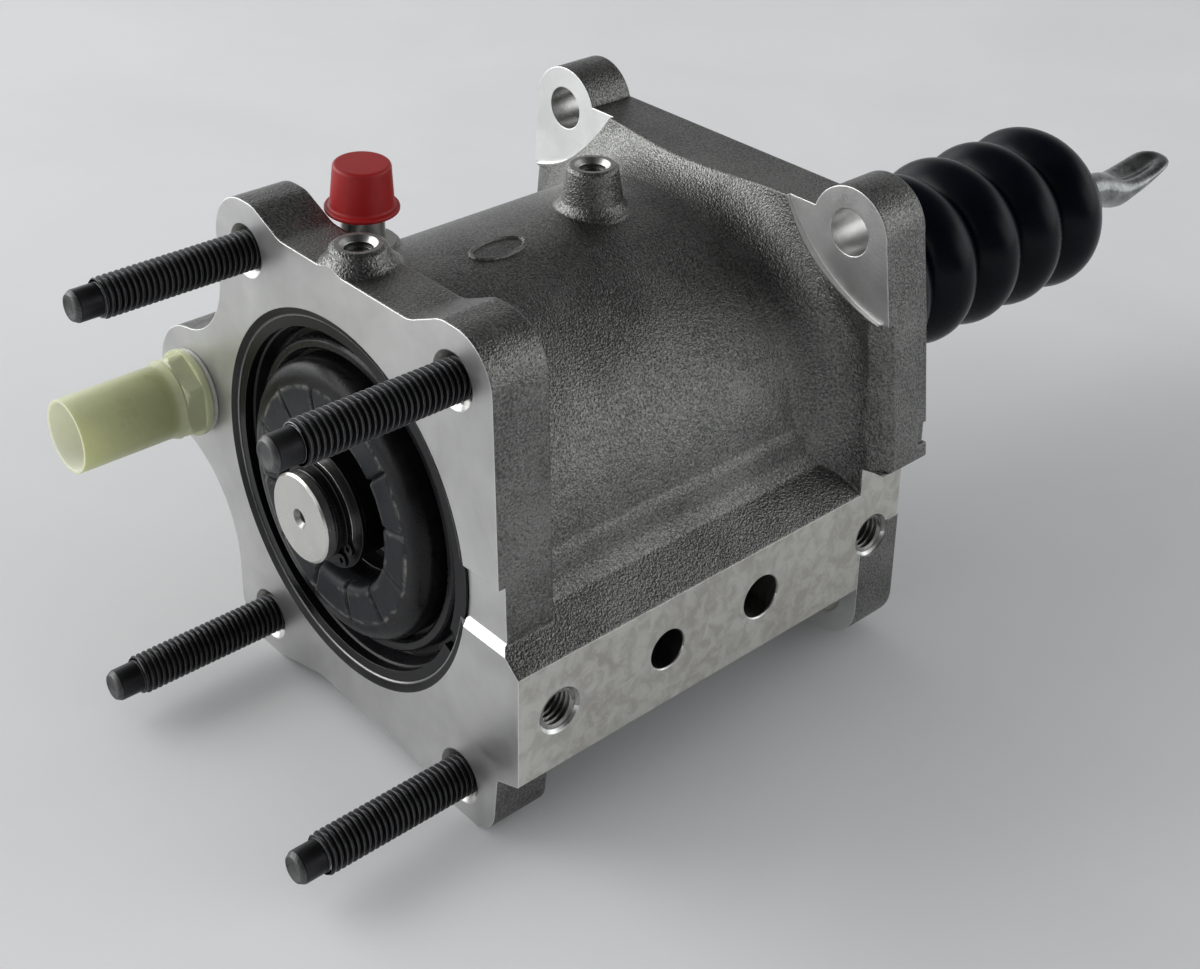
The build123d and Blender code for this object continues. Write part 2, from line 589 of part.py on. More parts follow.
def retaining_ring():
    y0 = MOUTH_DEPTH + SEAT_FIT
    outer_r = MOUTH_R + RETAINER_GROOVE_DEPTH - 0.2
    return split_ring(outer_r, RETAINER_INNER_R, y0, y0 + RETAINER_THICKNESS, RETAINER_GAP_ANGLE, RETAINER_GAP_AT)


def piston_body():
    sleeve_r = SLEEVE_R + SEAT_FIT
    shaft_r = SHAFT_R + SEAT_FIT
    guide_r = PISTON_BODY_R - GUIDE_THICKNESS
    return turned([
        (sleeve_r, PISTON_HUB_FRONT_Y), (PISTON_HUB_R, PISTON_HUB_FRONT_Y, 0.6),
        (PISTON_HUB_R, PISTON_WEB_FRONT_Y, 2), (PISTON_RECESS_R, PISTON_WEB_FRONT_Y, 2),
        (PISTON_RECESS_R, PISTON_FACE_Y), (PISTON_NECK_R, PISTON_FACE_Y), (PISTON_NECK_R, SEAL_SEAT_Y),
        (PISTON_BODY_R, SEAL_SEAT_Y), (PISTON_BODY_R, GUIDE_Y), (guide_r, GUIDE_Y),
        (guide_r, GUIDE_Y + GUIDE_WIDTH), (PISTON_BODY_R, GUIDE_Y + GUIDE_WIDTH),
        (PISTON_BODY_R, PISTON_REAR_Y, 0.8), (PISTON_REAR_RECESS_R, PISTON_REAR_Y),
        (PISTON_REAR_RECESS_R, PISTON_WEB_REAR_Y), (SHAFT_COLLAR_R + 2, PISTON_WEB_REAR_Y),
        (SHAFT_COLLAR_R + 2, PISTON_REAR_Y), (shaft_r, PISTON_REAR_Y), (shaft_r, SLEEVE_REAR_Y),
        (sleeve_r, SLEEVE_REAR_Y)])


def piston_cushion():
    """A rounded rubber crown with radial grooves between its pads."""
    crown = turned([
        (CUSHION_INNER_R, PISTON_FACE_Y), (CUSHION_INNER_R, CUSHION_FRONT_Y, CUSHION_INNER_ROUND),
        (CUSHION_OUTER_R, CUSHION_FRONT_Y, CUSHION_OUTER_ROUND), (CUSHION_OUTER_R, PISTON_FACE_Y)], 0)
    length = CUSHION_PAD_OUTER_R - CUSHION_INNER_R + 2
    for k in range(CUSHION_GROOVES):
        slot = Pos(CUSHION_INNER_R - 2 + length / 2, CUSHION_FRONT_Y, 0) * Box(
            length, 2 * CUSHION_GROOVE_DEPTH, CUSHION_GROOVE_WIDTH)
        crown -= Rot(0, 360 / CUSHION_GROOVES * (k + 0.5), 0) * slot
    return Pos(BORE_X, 0, 0) * crown


def piston_seal():
    """A cup seal that opens to the front."""
    front = MOUTH_DEPTH + SEAT_FIT + RETAINER_THICKNESS + STOP_GAP
    root = front + SEAL_LIP_DEPTH
    outer_r = BORE_R - RUNNING_FIT
    inner_r = PISTON_NECK_R + SEAT_FIT
    return turned([
        (inner_r, SEAL_SEAT_Y), (inner_r, front, SEAL_ROUND), (SEAL_INNER_LIP_R, front, SEAL_ROUND),
        (SEAL_INNER_LIP_R, root, 0.5), (SEAL_OUTER_LIP_ROOT_R, root, 0.5), (SEAL_OUTER_LIP_ROOT_R + 1, front, 0.4),
        (outer_r, front), (outer_r, SEAL_SEAT_Y)])


def guide_ring():
    inner_r = PISTON_BODY_R - GUIDE_THICKNESS + SEAT_FIT
    return ring(BORE_R - RUNNING_FIT, inner_r, GUIDE_Y + SEAT_FIT, GUIDE_Y + GUIDE_WIDTH - SEAT_FIT)


def piston_shaft():
    """The shaft from the thrust disc to the push rod's socket."""
    start = DISC_FRONT_Y + DISC_THICKNESS
    collar_y = PISTON_REAR_Y + SEAT_FIT
    socket_r = ROD_BALL_R + SEAT_FIT
    clip_r = socket_r + 0.9
    clip_end = ROD_CLIP_Y + ROD_CLIP_THICKNESS + SEAT_FIT
    bar = turned([
        (0, start), (SHAFT_R, start, 0.4), (SHAFT_R, collar_y), (SHAFT_COLLAR_R, collar_y),
        (SHAFT_COLLAR_R, collar_y + SHAFT_COLLAR_LENGTH, 1), (SHAFT_R, collar_y + SHAFT_COLLAR_LENGTH),
        (SHAFT_R, SHAFT_END_Y, 0.5), (socket_r, SHAFT_END_Y), (socket_r, clip_end), (clip_r, clip_end),
        (clip_r, ROD_CLIP_Y - SEAT_FIT), (socket_r, ROD_CLIP_Y - SEAT_FIT), (socket_r, ROD_BALL_Y), (0, ROD_BALL_Y)])
    return bar - Pos(BORE_X, ROD_BALL_Y, 0) * Sphere(socket_r)


def thrust_disc():
    rear = DISC_FRONT_Y + DISC_THICKNESS
    cone_end = DISC_FRONT_Y + DISC_HOLE_DEPTH
    return turned([
        (0, cone_end), (DISC_HOLE_R - 1.1, cone_end), (DISC_HOLE_R - 1.1, DISC_FRONT_Y + 1.1),
        (DISC_HOLE_R, DISC_FRONT_Y), (DISC_R, DISC_FRONT_Y), (DISC_REAR_R, DISC_FRONT_Y + 0.5),
        (DISC_REAR_R, rear), (0, rear)])


def shaft_sleeve():
    """The dark sleeve on the shaft's nose, grooved for the circlip."""
    groove_r = CIRCLIP_INNER_R - SEAT_FIT
    clip_end = CIRCLIP_Y + CIRCLIP_THICKNESS + SEAT_FIT
    return turned([
        (SHAFT_R + SEAT_FIT, SLEEVE_FRONT_Y), (SLEEVE_R, SLEEVE_FRONT_Y, 0.3), (SLEEVE_R, CIRCLIP_Y - SEAT_FIT),
        (groove_r, CIRCLIP_Y - SEAT_FIT), (groove_r, clip_end), (SLEEVE_R, clip_end),
        (SLEEVE_R, SLEEVE_REAR_Y - SEAT_FIT), (SHAFT_R + SEAT_FIT, SLEEVE_REAR_Y - SEAT_FIT)])


def shaft_circlip():
    """An open clip whose two ends carry drilled lugs."""
    y1 = CIRCLIP_Y + CIRCLIP_THICKNESS
    low, high = CIRCLIP_LUG_AT
    clip = split_ring(CIRCLIP_OUTER_R, CIRCLIP_INNER_R, CIRCLIP_Y, y1, high - low, (high + low) / 2)
    lug_at_r = CIRCLIP_OUTER_R + 0.4
    for angle in CIRCLIP_LUG_AT:
        x = BORE_X + lug_at_r * math.cos(math.radians(angle))
        z = lug_at_r * math.sin(math.radians(angle))
        clip += ring(CIRCLIP_LUG_R, 0, CIRCLIP_Y, y1, x, z)
        clip -= ring(CIRCLIP_LUG_HOLE_R, 0, CIRCLIP_Y - 1, y1 + 1, x, z)
    return clip - ring(CIRCLIP_INNER_R, 0, CIRCLIP_Y - 1, y1 + 1)


def thrust_washer():
    return ring(WASHER_R, SLEEVE_R + SEAT_FIT, PISTON_HUB_FRONT_Y - WASHER_THICKNESS, PISTON_HUB_FRONT_Y)


def spacer_ring():
    rear = PISTON_HUB_FRONT_Y - WASHER_THICKNESS
    return ring(SPACER_RING_R, SLEEVE_R + SEAT_FIT, rear - SPACER_RING_THICKNESS, rear)


def rod_guide_bush():
    return ring(BUSH_R, SHAFT_R + RUNNING_FIT, BUSH_START_Y, BUSH_START_Y + BUSH_LENGTH)


def rod_seal():
    """A lip seal with a spring groove at its front."""
    y0 = ROD_SEAL_START_Y
    y1 = y0 + ROD_SEAL_LENGTH - SEAT_FIT
    lip_r = SHAFT_R + RUNNING_FIT
    return turned([(lip_r, y0 + 1, 0.3), (lip_r + 1.6, y0, 0.3), (lip_r + 1.6, y0 + 3.5), (ROD_SEAL_R - 1.2, y0 + 3.5),
                   (ROD_SEAL_R - 1.2, y0), (ROD_SEAL_R, y0), (ROD_SEAL_R, y1), (lip_r + 0.4, y1), (lip_r, y0 + 2.5)])


def rod_seal_clip():
    y0 = ROD_SEAL_START_Y + ROD_SEAL_LENGTH + SEAT_FIT
    outer_r = ROD_SEAL_R + SEAL_CLIP_DEPTH - SEAT_FIT
    return split_ring(outer_r, ROD_SEAL_R - 1.6, y0, y0 + SEAL_CLIP_THICKNESS, 30, 90)


def spring_seat():
    """A pressed ring behind the piston web that centres the spring."""
    y0 = PISTON_WEB_REAR_Y
    inner_r = SPRING_R - SPRING_WIRE_R - 4
    lip_r = SPRING_R - SPRING_WIRE_R - 0.4
    return turned([
        (inner_r, y0), (SPRING_R + SPRING_WIRE_R + 3, y0), (SPRING_R + SPRING_WIRE_R + 3, y0 + SPRING_SEAT_THICKNESS),
        (lip_r, y0 + SPRING_SEAT_THICKNESS), (lip_r, y0 + SPRING_SEAT_THICKNESS + SPRING_SEAT_LIP),
        (inner_r, y0 + SPRING_SEAT_THICKNESS + SPRING_SEAT_LIP)])


def return_spring():
    start = PISTON_WEB_REAR_Y + SPRING_SEAT_THICKNESS + SPRING_WIRE_R + SEAT_FIT
    length = BORE_END_Y - SPRING_WIRE_R - SEAT_FIT - start
    pitch = length / SPRING_TURNS
    coil = Helix(pitch, length, SPRING_R, center=(BORE_X, start, 0), direction=(0, 1, 0))
    wire = Plane(coil @ 0, z_dir=coil % 0) * RegularPolygon(SPRING_WIRE_R, SPRING_WIRE_SIDES)
    return sweep(wire, path=coil)


def bellows():
    """Round folds with narrow valleys between a root on the hub and a closed-in nose."""
    start_y = BELLOWS_FIRST_CREST_Y - BELLOWS_PITCH / 2
    end_y = start_y + BELLOWS_FOLDS * BELLOWS_PITCH
    nose_y = end_y + BELLOWS_NOSE_LENGTH
    seat_r = HUB_R + SEAT_FIT
    root_r = seat_r + BELLOWS_ROOT_WALL
    bead_y = HUB_BEAD_GROOVE_Y + SEAT_FIT
    bead_end = HUB_BEAD_GROOVE_Y + HUB_BEAD_GROOVE_WIDTH - SEAT_FIT
    bead_r = HUB_R - HUB_BEAD_GROOVE_DEPTH + SEAT_FIT
    rise = BELLOWS_CREST_R - BELLOWS_VALLEY_R

    def fold(k, depth, steps):
        """The points of one fold and the valley after it, from the hub's side."""
        y0 = start_y + k * BELLOWS_PITCH
        angles = [math.pi * j / steps for j in range(1, steps + 1)]
        return [(BELLOWS_VALLEY_R - depth + rise * abs(math.sin(a)) ** BELLOWS_FULLNESS,
                 y0 + BELLOWS_PITCH * (1 - math.cos(a)) / 2) for a in angles]

    outer, inner = [], []
    for k in range(BELLOWS_FOLDS):
        outer += fold(k, 0, BELLOWS_FOLD_STEPS)
        inner += fold(k, BELLOWS_WALL, 2)
    nose = [(BELLOWS_VALLEY_R, nose_y - 4), (BELLOWS_VALLEY_R - 4, nose_y), (BELLOWS_NOSE_HOLE_R, nose_y),
            (BELLOWS_NOSE_HOLE_R, nose_y - BELLOWS_WALL), (BELLOWS_VALLEY_R - BELLOWS_WALL - 4, nose_y - BELLOWS_WALL)]
    root = [(seat_r, start_y), (seat_r, bead_end), (bead_r, bead_end), (bead_r, bead_y), (seat_r, bead_y),
            (seat_r, BELLOWS_ROOT_Y), (root_r, BELLOWS_ROOT_Y), (root_r, start_y)]
    return turned(outer + nose + inner[::-1] + root)


def push_rod():
    """A ball-ended rod whose far end is flattened into an upturned tongue."""
    y = ROD_STRAIGHT_END_Y - ROD_BALL_Y
    bar = turned([(0, 0), (ROD_NECK_R, 0), (ROD_NECK_R, ROD_NECK_LENGTH), (ROD_R, ROD_NECK_LENGTH + ROD_NECK_TAPER),
                  (ROD_R, y), (0, y)], 0)
    bar += Sphere(ROD_BALL_R)
    sections = [Plane.XZ.offset(-(y + dy)) * (Pos(0, lift) * Ellipse(width / 2, height / 2))
                for dy, width, height, lift in ROD_TONGUE]
    rod = bar + loft(sections)
    dish_y, dish_z = ROD_DISH_AT
    rod -= Pos(0, y + dish_y, dish_z) * Rot(18, 0, 0) * scale(Sphere(ROD_DISH_R), by=ROD_DISH_SHAPE)
    return Pos(BORE_X, ROD_BALL_Y, 0) * Rot(-ROD_TILT, 0, 0) * rod


def push_rod_clip():
    y0 = ROD_CLIP_Y
    outer_r = ROD_BALL_R + SEAT_FIT + 0.9 - SEAT_FIT
    return split_ring(outer_r, ROD_NECK_R + 0.6, y0, y0 + ROD_CLIP_THICKNESS, 40, 90)


def port_nipple():
    """The service port's stub, screwed into its boss."""
    top = CAP_TOP_Z - CAP_ROOF - FREE_FIT
    floor = PORT_BOSS_TOP_Z - PORT_THREAD_DEPTH
    return upright([(PORT_NIPPLE_BORE_R, floor), (PORT_THREAD_R, floor), (PORT_THREAD_R, PORT_BOSS_TOP_Z),
                    (PORT_NIPPLE_R, PORT_BOSS_TOP_Z), (PORT_NIPPLE_R, top - 2), (PORT_NIPPLE_R - 1.2, top),
                    (PORT_NIPPLE_BORE_R, top)], PORT_X, PORT_Y)


def red_cap():
    """A push-on cap with a brim."""
    inner_r = PORT_NIPPLE_R + FREE_FIT
    roof = CAP_TOP_Z - CAP_ROOF
    brim_top = CAP_BRIM_Z + CAP_BRIM_THICKNESS
    return upright([(inner_r, CAP_BRIM_Z), (CAP_BRIM_R, CAP_BRIM_Z, 0.5), (CAP_BRIM_R, brim_top, 0.5),
                    (CAP_BASE_R, brim_top, 0.6), (CAP_TOP_R, CAP_TOP_Z, 0.6), (0, CAP_TOP_Z), (0, roof),
                    (inner_r, roof)], PORT_X, PORT_Y)


def green_plug():
    """A moulded plug: a stub in the port, a hexagonal collar and a thin open tube."""
    stub_r = AIR_PORT_R - FREE_FIT
    tube = ring(PLUG_TUBE_R, PLUG_TUBE_R - PLUG_TUBE_WALL, PLUG_OPEN_END_Y, PLUG_COLLAR_FRONT_Y + 2, EAR_X, EAR_Z)
    collar = turned([(0, PLUG_COLLAR_FRONT_Y), (PLUG_TUBE_R, PLUG_COLLAR_FRONT_Y),
                     (PLUG_COLLAR_R, PLUG_COLLAR_FRONT_Y + 1.6), (PLUG_COLLAR_R, PLUG_COLLAR_REAR_Y),
                     (stub_r, PLUG_COLLAR_REAR_Y), (stub_r, PLUG_STUB_END_Y, 1), (0, PLUG_STUB_END_Y)], EAR_X, EAR_Z)
    hexagon = RegularPolygon(PLUG_COLLAR_FLATS / 2, 6, major_radius=False)
    nut = plate(Pos(EAR_X, EAR_Z) * (hexagon & Circle(PLUG_COLLAR_R)), PLUG_COLLAR_FRONT_Y, PLUG_COLLAR_REAR_Y - 1.6)
    brim = ring(PLUG_COLLAR_R, 0, PLUG_COLLAR_REAR_Y - 1.6, PLUG_COLLAR_REAR_Y, EAR_X, EAR_Z)
    stub = ring(stub_r, 0, PLUG_COLLAR_REAR_Y, PLUG_STUB_END_Y, EAR_X, EAR_Z)
    return tube + (collar & (nut + brim + stub))


def air_port_ring():
    """The pale seal ring between the plug's collar and the ear."""
    front = PLUG_COLLAR_REAR_Y + FREE_FIT
    outer_r = PORT_RING_CENTRE_R + PORT_RING_HALF_WIDTH
    inner_r = PORT_RING_CENTRE_R - PORT_RING_HALF_WIDTH
    return turned([(inner_r, front, 0.3), (outer_r, front, 0.3), (outer_r, 0, 0.3), (inner_r, 0, 0.3)], EAR_X, EAR_Z)


PIECES = {
    "housing": housing,
    "front_studs": front_studs,
    "bore_retaining_ring": retaining_ring,
    "piston_body": piston_body,
    "piston_cushion": piston_cushion,
    "piston_seal": piston_seal,
    "piston_guide_ring": guide_ring,
    "piston_shaft": piston_shaft,
    "thrust_disc": thrust_disc,
    "shaft_sleeve": shaft_sleeve,
    "shaft_circlip": shaft_circlip,
    "spacer_ring": spacer_ring,
    "thrust_washer": thrust_washer,
    "rod_guide_bush": rod_guide_bush,
    "rod_seal": rod_seal,
    "rod_seal_clip": rod_seal_clip,
    "spring_seat": spring_seat,
    "return_spring": return_spring,
    "dust_boot": bellows,
    "push_rod": push_rod,
    "push_rod_clip": push_rod_clip,
    "port_nipple": port_nipple,
    "red_cap": red_cap,
    "green_plug": green_plug,
    "air_port_ring": air_port_ring,
}

os.makedirs("parts", exist_ok=True)
for name, make in PIECES.items():
    export_step(make(), f"parts/{name}.step")
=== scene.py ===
# %% [markdown]
# # Looks for a brake booster
# The part arrives as plain solids. This script gives every visible solid a finish made of nodes, and
# puts finer meshes in place of the studs, the cushion, the bellows, the spring, the rod and both caps.
# Everything keeps the part's own frame: metres, +Y from the front face to the push rod, +Z up.

import math

import bmesh
import bpy
import numpy as np
from mathutils import Matrix, Vector


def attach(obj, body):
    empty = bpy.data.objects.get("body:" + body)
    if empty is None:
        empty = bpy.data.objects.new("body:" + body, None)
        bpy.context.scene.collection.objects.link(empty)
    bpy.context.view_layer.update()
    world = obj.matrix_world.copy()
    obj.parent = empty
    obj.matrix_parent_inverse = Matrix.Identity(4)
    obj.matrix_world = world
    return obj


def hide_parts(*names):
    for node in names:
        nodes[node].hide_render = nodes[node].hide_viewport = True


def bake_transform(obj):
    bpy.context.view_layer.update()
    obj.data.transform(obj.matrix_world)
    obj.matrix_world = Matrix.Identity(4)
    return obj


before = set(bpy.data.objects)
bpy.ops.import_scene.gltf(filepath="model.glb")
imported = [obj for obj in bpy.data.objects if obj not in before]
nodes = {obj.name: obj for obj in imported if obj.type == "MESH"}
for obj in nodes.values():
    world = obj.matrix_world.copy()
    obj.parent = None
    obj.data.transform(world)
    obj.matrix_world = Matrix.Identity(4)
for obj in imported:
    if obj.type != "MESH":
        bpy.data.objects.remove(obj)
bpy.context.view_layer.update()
MM = 0.001

# %% [markdown]
# ## Where things are
# These are the main axes and faces of the part, in millimetres. Each new mesh is built from them and
# then scaled, and they also tell which faces of the casting were machined. Written once up here, they
# keep the looks on top of the solids. An axis along Y is a pair of X and Z, an upright one X and Y.

# %% Main places
X, Y, Z = 0, 1, 2
BORE_X = -4.7
STUD_AXES = [(i * 40.0, k * 52.5) for i in (-1, 1) for k in (-1, 1)]
EAR_AXIS = (-69.7, 1.5)
PORT_AXIS = (-27.2, 24.8)
BOSSES_Y = (8.2, 78.2)
RAIL_FACE_X = 61.5
RAIL_HOLES_Z = -26.5
RAIL_TAPPED_Y = (11.9, 116.3)
RAIL_PLAIN_Y = (44.9, 76.0)
REAR_MIDDLE_X, REAR_MIDDLE_Z = -2.35, 4.0
REAR_HALF_X, REAR_HALF_Z = 52.35, 52.0
REAR_EARS = [(REAR_MIDDLE_X + i * REAR_HALF_X, REAR_MIDDLE_Z + k * REAR_HALF_Z)
             for i in (-1, 1) for k in (-1, 1)]
REAR_FLANGE_Y = 112.4
REAR_FLANGE_THICKNESS = 14.0
LAND_SWEEP_OUT, LAND_SWEEP_UP = 22.3, 26.8
LAND_SWEEPS = [(REAR_MIDDLE_X + i * (REAR_HALF_X + LAND_SWEEP_OUT),
                REAR_MIDDLE_Z + REAR_HALF_Z + LAND_SWEEP_UP) for i in (-1, 1)]
LAND_SWEEP_R = 48.2
DISC_HOLE_R = 3.4
print("studs at", STUD_AXES)
print("rear ears at", REAR_EARS)

# %% [markdown]
# ## Small tools for nodes
# A finish is a net of nodes, and wiring one by hand takes many lines. `add` makes a node and fills its
# sockets: a socket given as a value becomes a link, anything else becomes a constant. With it, sums
# and noises take one line each, so the effects below read almost like formulas.


# %% Node helpers
def add(tree, kind, sockets=None, **settings):
    made = tree.nodes.new(kind)
    for key, value in settings.items():
        setattr(made, key, value)
    for key, value in (sockets or {}).items():
        if isinstance(value, bpy.types.NodeSocket):
            tree.links.new(value, made.inputs[key])
        else:
            made.inputs[key].default_value = value
    return made


def plus(tree, a, b):
    return add(tree, "ShaderNodeMath", {0: a, 1: b}, operation="ADD").outputs[0]


def minus(tree, a, b):
    return add(tree, "ShaderNodeMath", {0: a, 1: b}, operation="SUBTRACT").outputs[0]


def times(tree, a, b):
    return add(tree, "ShaderNodeMath", {0: a, 1: b}, operation="MULTIPLY").outputs[0]


def remap(tree, value, low, high, new_low=0.0, new_high=1.0):
    """Turns the range from low to high into the new one, and holds the ends."""
    made = add(tree, "ShaderNodeMapRange", {"Value": value, "From Min": low, "From Max": high,
                                            "To Min": new_low, "To Max": new_high})
    return made.outputs[0]


def own_place(tree):
    """The place on the piece itself, so that a pattern stays on the piece when it moves."""
    return add(tree, "ShaderNodeTexCoord").outputs["Object"]


def noise(tree, where, scale, detail=2.0, **sockets):
    sockets = {"Vector": where, "Scale": scale, "Detail": detail, **sockets}
    return add(tree, "ShaderNodeTexNoise", sockets).outputs["Fac"]


def line_noise(tree, value):
    """Noise that changes with one value only, so it draws lines."""
    return noise(tree, add(tree, "ShaderNodeCombineXYZ", {"X": value}).outputs[0], 1.0)


# %% [markdown]
# ## Shared effects
# Metal from a foundry and a machine shop shows how it was made: sand leaves grain, a cutter leaves
# lines, a lathe leaves rings, and handling wears edges and leaves marks. Each of these could be painted
# into every material, but then one change would have to be made twenty times. Five node groups serve
# all the finishes instead. They give masks, values and normals only, and each finish decides what to
# do with them.

# %% Group helpers
FLOAT, VECTOR = "NodeSocketFloat", "NodeSocketVector"
NORMAL_IN = ("Normal", VECTOR, (0.0, 0.0, 0.0))


def new_group(name, inputs, outputs):
    """Starts a shared effect with named inputs and outputs."""
    group = bpy.data.node_groups.new(name, "ShaderNodeTree")
    for label, kind, value in inputs:
        socket = group.interface.new_socket(label, in_out="INPUT", socket_type=kind)
        socket.default_value = value
    for label, kind in outputs:
        group.interface.new_socket(label, in_out="OUTPUT", socket_type=kind)
    return group, add(group, "NodeGroupInput").outputs, add(group, "NodeGroupOutput")


def put_out(group, out, **sockets):
    for label, socket in sockets.items():
        group.links.new(socket, out.inputs[label])


def bumped(group, given, height):
    """The normal that a group was given, bumped by a height as deep as the group's Depth says."""
    bump = add(group, "ShaderNodeBump", {"Height": height, "Distance": given["Depth"], "Strength": 1.0,
                                         "Normal": given["Normal"]})
    return bump.outputs["Normal"]


# %% [markdown]
# ### Cast grain
# Sand leaves the skin of a casting pebbled, with finer grit in between and slow waves below. Voronoi
# cells give the pebbles, one noise the grit and a wide one the waves. The tone is paler on the grit.


# %% Cast grain
def make_cast_grain():
    group, given, out = new_group(
        "cast_grain",
        [("Cells per metre", FLOAT, 900.0), ("Depth", FLOAT, 0.00012), NORMAL_IN],
        [("Tone", FLOAT), ("Normal", VECTOR)])
    where = own_place(group)
    scale = given["Cells per metre"]
    pebbles = add(group, "ShaderNodeTexVoronoi", {"Vector": where, "Scale": scale}, feature="F1")
    grit = noise(group, where, times(group, scale, 0.8), Roughness=0.65)
    waves = noise(group, where, 60.0)
    height = plus(group, times(group, pebbles.outputs["Distance"], -0.7), times(group, grit, 1.6))
    height = plus(group, height, times(group, waves, 1.5))
    tone = plus(group, times(group, grit, 0.8), times(group, waves, 0.2))
    put_out(group, out, Tone=tone, Normal=bumped(group, given, height))
    return group


# %% [markdown]
# ### Milling marks and turned rings
# A wide cutter leaves fine arcs round the place where it turned, and a lathe leaves rings round the
# axis of the work. A noise of one value, the distance from that place or axis, draws both. A wave
# texture would draw lines too, but all alike, and real marks vary.


# %% Milling marks
def make_milling():
    group, given, out = new_group(
        "milling",
        [("Lines per metre", FLOAT, 900.0), ("Depth", FLOAT, 0.00001), ("Centre", VECTOR, (0.0, 0.0, 0.0)),
         NORMAL_IN],
        [("Tone", FLOAT), ("Normal", VECTOR)])
    where = own_place(group)
    off = add(group, "ShaderNodeVectorMath", {0: where, 1: given["Centre"]}, operation="SUBTRACT")
    far = add(group, "ShaderNodeVectorMath", {0: off.outputs[0]}, operation="LENGTH").outputs["Value"]
    lines = line_noise(group, times(group, far, given["Lines per metre"]))
    cloud = noise(group, where, 55.0, 4.0, Roughness=0.6)
    fine = noise(group, where, 1400.0)
    height = plus(group, lines, times(group, fine, 0.8))
    put_out(group, out, Tone=cloud, Normal=bumped(group, given, height))
    return group


# %% Turned rings
def make_turned():
    group, given, out = new_group(
        "turned_rings",
        [("Lines per metre", FLOAT, 2500.0), ("Depth", FLOAT, 0.00002), ("Axis X", FLOAT, 0.0),
         ("Axis Z", FLOAT, 0.0), NORMAL_IN],
        [("Tone", FLOAT), ("Normal", VECTOR)])
    split = add(group, "ShaderNodeSeparateXYZ", {"Vector": own_place(group)})
    x = minus(group, split.outputs["X"], given["Axis X"])
    z = minus(group, split.outputs["Z"], given["Axis Z"])
    square = plus(group, times(group, x, x), times(group, z, z))
    radius = add(group, "ShaderNodeMath", {0: square}, operation="SQRT").outputs[0]
    along = plus(group, radius, split.outputs["Y"])
    lines = line_noise(group, times(group, along, given["Lines per metre"]))
    put_out(group, out, Tone=lines, Normal=bumped(group, given, lines))
    return group


# %% [markdown]
# ### Edge wear, painted edge highlights and handling marks
# Edges catch the light because they are never quite sharp, and hands rub them bright. A Bevel node
# rounds the normal near an edge, and where it turns away from the flat face, that is the edge mask.
# The metals paint a pale colour on it, partly wear and partly a painted highlight.
# Cutting every edge round in the mesh would cost far more faces. Handling marks are a soft smeared
# noise that changes the shine and the tone.


# %% Worn edges
def make_edges():
    group, given, out = new_group(
        "edge_wear_and_sheen",
        [("Radius", FLOAT, 0.0004), ("Width", FLOAT, 0.3)],
        [("Mask", FLOAT), ("Normal", VECTOR)])
    soft = add(group, "ShaderNodeBevel", {"Radius": given["Radius"]}, samples=6).outputs["Normal"]
    flat = add(group, "ShaderNodeNewGeometry").outputs["True Normal"]
    same = add(group, "ShaderNodeVectorMath", {0: soft, 1: flat}, operation="DOT_PRODUCT").outputs["Value"]
    mask = remap(group, same, 1.0, minus(group, 1.0, given["Width"]))
    put_out(group, out, Mask=mask, Normal=soft)
    return group


# %% Handling marks
def make_handling():
    group, given, out = new_group(
        "handling",
        [("Low", FLOAT, 0.3), ("High", FLOAT, 0.5), ("Scale", FLOAT, 40.0), ("Softness", FLOAT, 0.15)],
        [("Value", FLOAT), ("Mask", FLOAT)])
    smear = noise(group, own_place(group), given["Scale"], 6.0, Roughness=0.62, Distortion=0.6)
    value = remap(group, smear, 0.35, 0.65, given["Low"], given["High"])
    softness = given["Softness"]
    mask = remap(group, smear, minus(group, 0.5, softness), plus(group, 0.5, softness))
    put_out(group, out, Value=value, Mask=mask)
    return group


CAST, MILLED, TURNED = make_cast_grain(), make_milling(), make_turned()
EDGES, HANDLED = make_edges(), make_handling()
print("effects:", [g.name for g in (CAST, MILLED, TURNED, EDGES, HANDLED)])

# %% [markdown]
# ## Finishes
# A finish is one Principled shader whose colour, roughness and normal come from the effects. The
# constants stand directly on its sockets. `use` places an effect with its own values, `mix` blends two
# colours by a mask, and `skin_on` lays a grain over a normal.


# %% Finish helpers
def use(tree, group, **values):
    made = add(tree, "ShaderNodeGroup", node_tree=group)
    for key, value in values.items():
        made.inputs[key.replace("_", " ")].default_value = value
    return made


def mix(tree, mask, first, second):
    made = add(tree, "ShaderNodeMix", data_type="RGBA")
    tree.links.new(mask, made.inputs["Factor"])
    for key, value in (("A", first), ("B", second)):
        socket = [s for s in made.inputs if s.name == key and s.type == "RGBA"][0]
        if isinstance(value, bpy.types.NodeSocket):
            tree.links.new(value, socket)
        else:
            socket.default_value = (*value, 1.0)
    return [s for s in made.outputs if s.type == "RGBA"][0]


def start_finish(name):
    made = bpy.data.materials.new(name)
    made.use_nodes = True
    tree = made.node_tree
    tree.nodes.clear()
    shader = add(tree, "ShaderNodeBsdfPrincipled")
    out = add(tree, "ShaderNodeOutputMaterial")
    tree.links.new(shader.outputs[0], out.inputs["Surface"])
    return made, tree, shader


def feed(tree, shader, colour, roughness, normal):
    tree.links.new(colour, shader.inputs["Base Color"])
    tree.links.new(roughness, shader.inputs["Roughness"])
    tree.links.new(normal, shader.inputs["Normal"])


def skin_on(tree, skin, normal=None):
    """A grain, given as (group, values), laid over a normal or over the plain one of the surface."""
    group, values = skin
    made = use(tree, group, **values)
    normal = normal or add(tree, "ShaderNodeNewGeometry").outputs["Normal"]
    tree.links.new(normal, made.inputs["Normal"])
    return made
